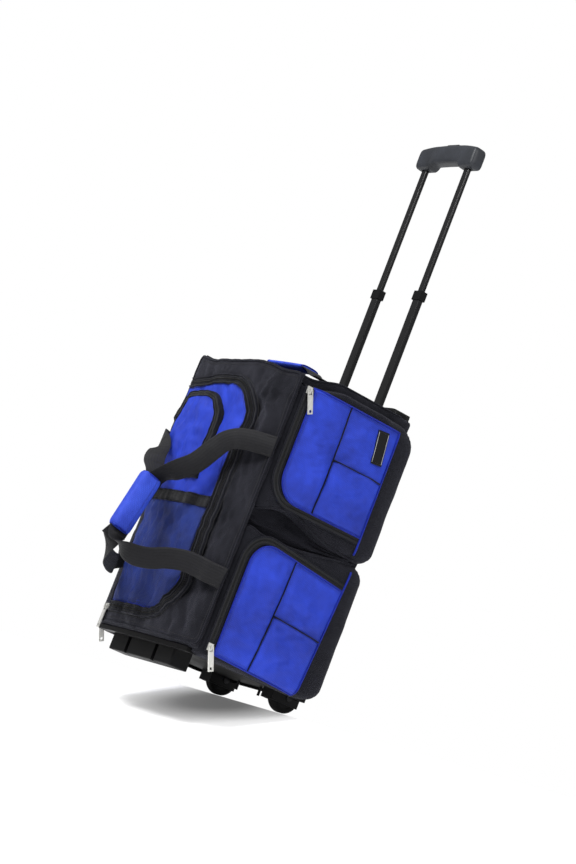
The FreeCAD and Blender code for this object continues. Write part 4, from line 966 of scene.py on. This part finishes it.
def make_side_pockets():
    for side, sign in SIDES:
        pockets = [SidePocket(level, side, sign) for level in ("upper", "lower")]
        for pocket in pockets:
            pocket.make_skin()
            pocket.make_panel()
            pocket.make_slip_pocket()
            pocket.make_zip()
            pocket.make_edges()
        make_gusset(side, sign, *pockets)
        if side == "right":
            make_label(pockets[0])


# Handles and straps ------------------------------------------

WRAP_SIZE, WRAP_TILT = Vector((23, 41, 116)) * MM, math.radians(-12.6)
SLEEVE_SIZE, SLEEVE_TILT = Vector((116, 41, 8)) * MM, math.radians(2.5)
WRAP_HEM, SLEEVE_HEM = 55 * MM, 55.5 * MM      # half the distance between a padded piece's two hems


def ribbon(name, stations, steps=14):
    """A flat strap through given stations of (middle, direction across), in millimetres."""
    middles = through([Vector(middle) * MM for middle, _ in stations], steps)
    acrosses = through([Vector(across) for _, across in stations], steps)
    line = []
    for i, (middle, across) in enumerate(zip(middles, acrosses)):
        along = (middles[min(i + 1, len(middles) - 1)] - middles[max(i - 1, 0)]).normalized()
        across = (across - along * across.dot(along)).normalized()
        line.append((middle, across, along.cross(across)))
    return sweep(name, line, flat(*STRAP, 0.3), WEBBING), line


def make_carry_straps():
    """Two webbing loops from the front's side seams to the wrap that holds them together."""
    top, bottom = Vector((1.6, -178, 309)), Vector((1.6, -205, 188))
    lean = Vector((0, -0.976, -0.218))

    def sewn(sign, z):
        """The end of a strap on the front's side seam."""
        end = front(sign * HALF, z * MM, 1.6 * MM) / MM
        return abs(end.x), end.y, z
    near_top = [(sewn(1, 413), (0, 0, 1)), ((152, -94, 412), (0, 0, 1)), ((132, -106, 411), (0, -0.05, 1)),
                ((112, -115, 407), (0, -0.1, 1)), ((94, -123, 396), (-0.05, -0.2, 1)),
                ((78, -130, 375), (-0.1, -0.3, 0.9)), ((58, -141, 345), (-0.2, -0.5, 0.8)),
                ((32, -156, 323), (-0.2, -0.8, 0.5))]
    far_top = [(sewn(-1, 397), (0, 0, -1)), ((148, -98, 396), (0, 0, -1)), ((130, -108, 390), (0, -0.1, -1)),
               ((108, -118, 380), (0.1, -0.4, -0.9)), ((86, -132, 367), (0.4, -0.7, -0.5)),
               ((68, -146, 350), (0.5, -0.8, -0.25)), ((40, -161, 331), (0.3, -0.95, -0.2))]
    held = [(tuple(top + Vector((0, 6, -14))), lean), (tuple(bottom + Vector((0, 8, 14))), lean)]
    near_bottom = [((9, -206, 176), (0, -0.95, 0.2)), ((22, -196, 162), (0.1, -0.75, 0.55)),
                   ((40, -176, 156), (0.1, -0.4, 0.9)), ((58, -155, 160), (0.05, -0.2, 1)),
                   ((78, -136, 170), (0, -0.1, 1)), ((102, -115, 176), (0, 0, 1)),
                   ((126, -99, 174), (0, 0, 1)), ((150, -91, 170), (0, 0, 1)), (sewn(1, 167), (0, 0, 1))]
    far_bottom = [((5, -206, 176), (0, -0.8, 0.5)), ((22, -199, 163), (0.1, -0.5, 0.8)),
                  ((46, -181, 150), (0, -0.2, 0.95)), ((74, -152, 143), (0, 0, 1)),
                  ((106, -120, 144), (0, 0, 1)), ((128, -104, 156), (0, 0, 1)), (sewn(-1, 167), (0, 0, 1))]
    for side, sign in SIDES:
        ends = (near_top, near_bottom) if side == "right" else (far_top, far_bottom)
        top_end, bottom_end = ([((sign * p[0], p[1], p[2]), (sign * a[0], a[1], a[2])) for p, a in end]
                               for end in ends)
        own = top_end + [((sign * p[0], p[1], p[2]), a) for p, a in held] + bottom_end
        strap, line = ribbon(f"carry_strap_{side}_webbing", own)
        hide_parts(f"carry_strap_{side}")
        for end, part in (("top", line[2:10]), ("bottom", line[-10:-2])):
            for k, across in enumerate((-16.5, 16.5)):
                facing = 1 if part[0][2].y < 0 else -1
                blocks(f"strap_{end}_stitching_{side}_{k}", part, 4.0, (3.0, 0.9, facing * 0.6), THREAD,
                       across, facing * 1.5, slot="webbing")


def stuffed_block(size, round_off):
    """A closed box with softened edges, as the start of a padded piece."""
    made = bmesh.new()
    bmesh.ops.create_cube(made, size=1.0)
    bmesh.ops.scale(made, vec=size, verts=made.verts)
    bmesh.ops.bevel(made, geom=made.edges, offset=round_off, segments=3, profile=0.6, affect="EDGES")
    return as_mesh("stuffing", made)


def inflate(mesh, voxel, pressure, most):
    """The mesh after a short cloth simulation that blows it up; no point moves further than most."""
    piece = linked("blown", mesh)
    remesh = piece.modifiers.new("voxels", "REMESH")
    remesh.mode = "VOXEL"
    remesh.voxel_size = voxel
    start = bpy.data.meshes.new_from_object(piece.evaluated_get(bpy.context.evaluated_depsgraph_get()))
    piece.modifiers.clear()
    piece.data = start
    rest = [v.co.copy() for v in start.vertices]
    cloth = piece.modifiers.new("cloth", "CLOTH")
    cloth.settings.use_pressure = True
    cloth.settings.uniform_pressure_force = pressure
    cloth.settings.effector_weights.gravity = 0
    cloth.settings.tension_stiffness = cloth.settings.compression_stiffness = 12
    cloth.settings.bending_stiffness = 1.5
    scene = bpy.context.scene
    for step in range(1, 21):
        scene.frame_set(step)
    moved = piece.evaluated_get(bpy.context.evaluated_depsgraph_get()).data
    places = [v.co.copy() for v in moved.vertices]
    piece.modifiers.clear()
    scene.frame_set(1)
    for vertex, before, after in zip(start.vertices, rest, places):
        step = after - before
        vertex.co = before + step * min(1.0, most / max(step.length, 1e-9))
    bpy.data.objects.remove(piece)
    return start


def padded_piece(name, mesh, place, look):
    """A blown-up mesh as a soft piece."""
    mesh.transform(place)
    mesh.uv_layers.new(name="UVMap")
    piece = finish(name, mesh, look)
    piece.modifiers.new("smoothing", "SUBSURF").render_levels = 1
    return piece


def softened(turn, half_a, half_b, power):
    """The point at that turn on a rectangle whose corners are the softer the higher the power."""
    a, b = math.cos(turn), math.sin(turn)
    return math.copysign(abs(a) ** power, a) * half_a, math.copysign(abs(b) ** power, b) * half_b


def ring_round(place, half_wide, half_deep, height):
    """Frames round a soft-cornered rectangle: across is the piece's length."""
    line, turned = [], place.to_3x3()
    for turn in run(0, 2 * math.pi, 48):
        point = Vector((*softened(turn, half_wide, half_deep, 0.85), height))
        out = Vector((math.cos(turn) / half_wide, math.sin(turn) / half_deep, 0)).normalized()
        line.append((place @ point, turned @ Vector((0, 0, 1)), turned @ out))
    return line


def make_wrap():
    """The padded grip that closes round both carry straps."""
    middle = (WRAP[0] + WRAP[1]) / 2 + Vector((0, -5, 0)) * MM
    place = Matrix.Translation(middle) @ Matrix.Rotation(WRAP_TILT, 4, "X")
    mesh = inflate(stuffed_block(WRAP_SIZE, 7 * MM), 4 * MM, 4.0, 6 * MM)
    wrap = padded_piece("carry_wrap_pad", mesh, place, BLUE_WRAPPED)
    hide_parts("carry_wrap")
    for end, height in (("top", WRAP_HEM), ("bottom", -WRAP_HEM)):
        sweep(f"wrap_hem_{end}", ring_round(place, 10.6 * MM, 18.6 * MM, height), oval(3.2, 1.8, 8),
              BLUE_PIPING)
    seam = [Vector((x, 0)) for x in run(-WRAP_HEM, WRAP_HEM, 40)]

    def closing(along, across, lift=0.0):
        return place @ Vector((12.3 * MM + lift, 9 * MM + across, along))
    blocks("wrap_stitching", frames(closing, seam, 0.6 * MM), 4.2, (3.1, 0.8, 0.6), BLUE_THREAD,
           slot="blue_fabric")


def make_grab_handle():
    """The webbing handle on the top, in its padded sleeve."""
    top, rise = TOP[1].z / MM + 1.4, (SLEEVE[0].z + SLEEVE[1].z) / 2 / MM - TOP[1].z / MM - 4.5
    y = (SLEEVE[0].y + SLEEVE[1].y) / 2 / MM
    outline = [(-108, 0), (-98, 0), (-90, 1.5), (-80, rise * 0.4), (-70, rise * 0.8), (-58, rise),
               (-30, rise + 1), (0, rise), (30, rise - 2), (58, rise - 5), (72, rise * 0.55),
               (82, rise * 0.25), (90, 1.5), (98, 0), (108, 0)]
    stations = [((x, y, top + z), (0, 1, 0)) for x, z in outline]
    webbing, line = ribbon("grab_handle_webbing", stations, 6)
    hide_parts("grab_webbing")
    for side, part in (("left", line[:10]), ("right", line[-10:])):
        for k, across in enumerate((-15, 15)):
            facing = 1 if part[0][2].z > 0 else -1
            blocks(f"grab_stitching_{side}_{k}", part, 4.0, (3.0, 0.9, facing * 0.6), THREAD, across,
                   facing * 1.4, slot="webbing")
    middle = Vector((0, y * MM, (SLEEVE[0].z + SLEEVE[1].z) / 2))
    mesh = inflate(stuffed_block(SLEEVE_SIZE, 3.4 * MM), 4 * MM, 3.0, 4 * MM)
    place = Matrix.Translation(middle - Vector((0, 0, 4.5 * MM))) @ Matrix.Rotation(SLEEVE_TILT, 4, "Y")
    sleeve = padded_piece("grab_sleeve_pad", mesh, place, BLUE_WRAPPED)
    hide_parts("grab_sleeve")
    turned = place @ Matrix.Rotation(math.radians(90), 4, "Y")
    for end, height in (("left", -SLEEVE_HEM), ("right", SLEEVE_HEM)):
        sweep(f"sleeve_hem_{end}", ring_round(turned, 4.2 * MM, 19.8 * MM, height), oval(3.2, 2.0, 8),
              BLUE_PIPING)


# Moulded parts -----------------------------------------------

def turned_in(edge, radius, count):
    """Places along a piece's rounded end, from its edge inward, with how full it is at each."""
    return [(edge - radius * (1 - math.sin(turn)), math.cos(turn)) for turn in run(math.pi / 2, 0, count)]


def soft_rectangle(half_y, half_z):
    """Points round a rectangle with soft corners."""
    return [softened(turn, half_y, half_z, 2 / 4.5) for turn in run(0, 2 * math.pi, 40)[:-1]]


def make_grip():
    """The arched grip: a slim bar between two deep sleeves that hold the poles."""
    low, high = GRIP[0].z, GRIP[1].z
    half_long, middle_y, half_deep = GRIP[1].x, (GRIP[0].y + GRIP[1].y) / 2, (GRIP[1].y - GRIP[0].y) / 2
    rows = []
    half = turned_in(half_long, 7 * MM, 8)[:-1] + [(x, 1.0) for x in run(half_long - 8 * MM, 0, 40)]
    for x, full in [(-x, f) for x, f in half] + [(x, f) for x, f in reversed(half[:-1])]:
        reach = abs(x) / half_long
        top = high - 0.4 * MM - 8 * MM * reach ** 2.4
        under = lerp(low + 9 * MM, low, ease((abs(x) - 0.036) / 0.012))
        under += 1.2 * MM * (1 - reach) * (abs(x) < 0.04)
        slim = lerp(0.86, 1.0, ease((abs(x) - 0.03) / 0.02))
        full = max(full, 0.02) ** 0.5
        centre, half_high = (top + under) / 2, (top - under) / 2
        rows.append([Vector((x, middle_y + a * full, centre + b * full))
                     for a, b in soft_rectangle(half_deep * slim, half_high)])
    grip = grid("grip_moulding", rows, GRIP_PLASTIC, wrap=True, caps=True, body="handle")
    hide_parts("trolley_grip")
    for side, sign in SIDES:
        x = sign * (abs(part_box(f"upper_tube_{side}")[0].x) + abs(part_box(f"upper_tube_{side}")[1].x)) / 2
        place = Matrix.Translation((x, middle_y, 0))
        sweep(f"grip_rim_{side}", ring_round(place, 10.5 * MM, 7.2 * MM, low + 0.3 * MM), oval(2, 2.4, 8),
              GRIP_PLASTIC, body="handle")
    well = Matrix.Translation((0, middle_y, 0))
    sweep("button_rim", ring_round(well, 18.6 * MM, 7.4 * MM, high - 0.4 * MM), oval(1.2, 1.6, 8),
          GRIP_PLASTIC, body="handle")


def make_bezel():
    """The moulded cover along the top's back edge, with a rim round each pole."""
    low, high = BEZEL[0], BEZEL[1]
    top, plate = high.z - 0.4 * MM, TOP[1].z - 1 * MM
    section = [(low.y, plate), (low.y, top - 5 * MM), (low.y + 1.5 * MM, top - 1.6 * MM),
               (low.y + 6 * MM, top), (high.y - 6 * MM, top), (high.y - 1.6 * MM, top - 1.6 * MM),
               (high.y, top - 6 * MM), (high.y, low.z + 3 * MM), (high.y - 1.2 * MM, low.z),
               (BACK_Y + 0.4 * MM, low.z), (BACK_Y + 0.4 * MM, plate)]
    rows, corner = [], 26 * MM
    half = [x for x, _ in turned_in(high.x, corner, 10)] + run(high.x - corner - 1 * MM, 0, 20)
    for x in [-x for x in half] + half[-2::-1]:
        turn = max(abs(x) - high.x + corner, 0) / corner
        drop = 1 - math.sqrt(1 - turn ** 2)
        rows.append([Vector((x, min(y, lerp(high.y, low.y + 14 * MM, drop)),
                             z - (7 * MM * drop if z > plate else 0))) for y, z in section])
    bezel = grid("bezel_moulding", rows, PLASTIC, wrap=True, caps=True)
    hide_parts("tube_bezel")
    for side, sign in SIDES:
        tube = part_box(f"frame_tube_{side}")
        place = Matrix.Translation(((tube[0].x + tube[1].x) / 2, (tube[0].y + tube[1].y) / 2, 0))
        ring = ring_round(place, 16.5 * MM, 12 * MM, top - 1.4 * MM)
        sweep(f"bezel_rim_{side}", ring, oval(4.5, 3, 8), PLASTIC)


def finish_cad_nodes():
    """The CAD pieces that stay get the finish of their material slot."""
    for entry in frame["record"]["subparts"]:
        materials = frame["nodes"][entry["node"]].data.materials
        materials.clear()
        materials.append(SLOTS[entry["material_slot"]][0])


# Stage, light and camera -------------------------------------

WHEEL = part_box("tyre_left")
CONTACT = Vector((0, (WHEEL[0].y + WHEEL[1].y) / 2, WHEEL[0].z))
TILTED_UP = Vector((0, -0.432, 0.902)).normalized()
# the middle and the inner and outer radii of the painted shadow: the disc under the bag where the floor's glow
# is turned down
PAINTED_SHADOW_MIDDLE = Vector((-0.05, 0.16, -0.02))
PAINTED_SHADOW_NEAR, PAINTED_SHADOW_FAR = 0.05, 0.21
LIT_BY_SURROUND, SEEN_SURROUND = 0.45, 1.0       # how bright the surround is as light, and to the camera
LAMPS = (("key", (0.4, -2.4, 2.5), 1.1, 135), ("side", (2.2, 0.1, 2.1), 1.0, 32))
LAMP_TARGET = Vector((0, 0, 0.35))
CAMERA_PLACE = Vector((3.51734, -2.26805, -0.25320))
CAMERA_BACK = Vector((0.8217, -0.5432, -0.1724))
CAMERA_UP = Vector((-0.0651, -0.3901, 0.9185))
CAMERA_LENS = 97.24


def floor_glow_and_painted_shadow():
    """A pale matt paint that glows softly, which is painted light, and glows less right under the bag, where
    its cast shadow lies: a painted shadow added to the cast one.
    """
    look = Look("floor_glow_and_painted_shadow", Roughness=0.9, Specular_IOR_Level=0.1, Emission_Color=(1, 1, 1, 1))
    tone = look.noise(look.place, 3.0, 2.0)
    look.paint(tone, (0.0, (0.86, 0.86, 0.86, 1)), (1.0, (0.9, 0.9, 0.9, 1)))
    away = look.add("VectorMath", look.place, tuple(PAINTED_SHADOW_MIDDLE), operation="DISTANCE").node.outputs["Value"]
    # painted shadow: the glow falls from 0.5 to 0.08 towards the middle under the bag
    near = look.add("MapRange", away, PAINTED_SHADOW_NEAR, PAINTED_SHADOW_FAR, 0.08, 0.5, interpolation_type="SMOOTHSTEP")
    # further off the glow rises more, so that the far floor stays evenly white
    far = look.add("MapRange", away, 1.2, 3.4, 0.0, 0.25, interpolation_type="SMOOTHSTEP")
    look.tree.links.new(look.math("ADD", near, far), look.shader.inputs["Emission Strength"])
    return look.material


def make_stage():
    """One floor folded under the wheels: level behind them, and the slope of the tilt in front."""
    wide = 4.0
    down = Vector((1, 0, 0)).cross(TILTED_UP)
    ahead = -down if down.y > 0 else down
    start = CONTACT - TILTED_UP * 1 * MM
    lines = [start + ahead * wide, start, start + Vector((0, wide, 0))]
    corners = [line + Vector((sign * wide, 0, 0)) for line in lines for sign in (-1, 1)]
    mesh = bpy.data.meshes.new("floor")
    mesh.from_pydata([tuple(corner) for corner in corners], [], [(0, 1, 3, 2), (2, 3, 5, 4)])
    floor = linked("floor", mesh)
    mesh.materials.append(floor_glow_and_painted_shadow())


def area_light(name, place, size, power):
    """A square soft light of that size in metres and power in watts, aimed at the bag."""
    light = bpy.data.lights.new(name, "AREA")
    light.size = size
    light.energy = power
    lamp = linked(name, light)
    lamp.location = place
    lamp.rotation_euler = (LAMP_TARGET - Vector(place)).to_track_quat("-Z", "Y").to_euler()


def make_light():
    """A white studio: an even surround, a large soft light from above and a weaker one from the side."""
    world = bpy.data.worlds.new("studio")
    world.use_nodes = True
    tree = world.node_tree
    seen = tree.nodes.new("ShaderNodeLightPath").outputs["Is Camera Ray"]
    strength = tree.nodes.new("ShaderNodeMapRange")
    tree.links.new(seen, strength.inputs["Value"])
    strength.inputs["To Min"].default_value = LIT_BY_SURROUND
    strength.inputs["To Max"].default_value = SEEN_SURROUND
    background = tree.nodes["Background"]
    background.inputs["Color"].default_value = (1, 1, 1, 1)
    tree.links.new(strength.outputs["Result"], background.inputs["Strength"])
    bpy.context.scene.world = world
    for lamp in LAMPS:
        area_light(*lamp)
    bpy.context.scene.view_settings.view_transform = "Standard"


def make_camera():
    """A long lens that looks up at the tilted bag from its right front."""
    back = CAMERA_BACK.normalized()
    right = CAMERA_UP.cross(back).normalized()
    up = back.cross(right)
    camera_data = bpy.data.cameras.new("camera")
    camera_data.lens = CAMERA_LENS
    camera_data.sensor_width = 36
    camera_data.clip_end = 50
    camera = linked("camera", camera_data)
    camera.matrix_world = Matrix.Translation(CAMERA_PLACE) @ Matrix((right, up, back)).transposed().to_4x4()
    bpy.context.scene.camera = camera


make_camera()
make_light()
make_stage()
finish_cad_nodes()
make_shell()
make_seams()
make_main_zip()
make_flap_pocket()
make_mesh_pocket()
make_side_pockets()
make_carry_straps()
make_wrap()
make_grab_handle()
make_grip()
make_bezel()
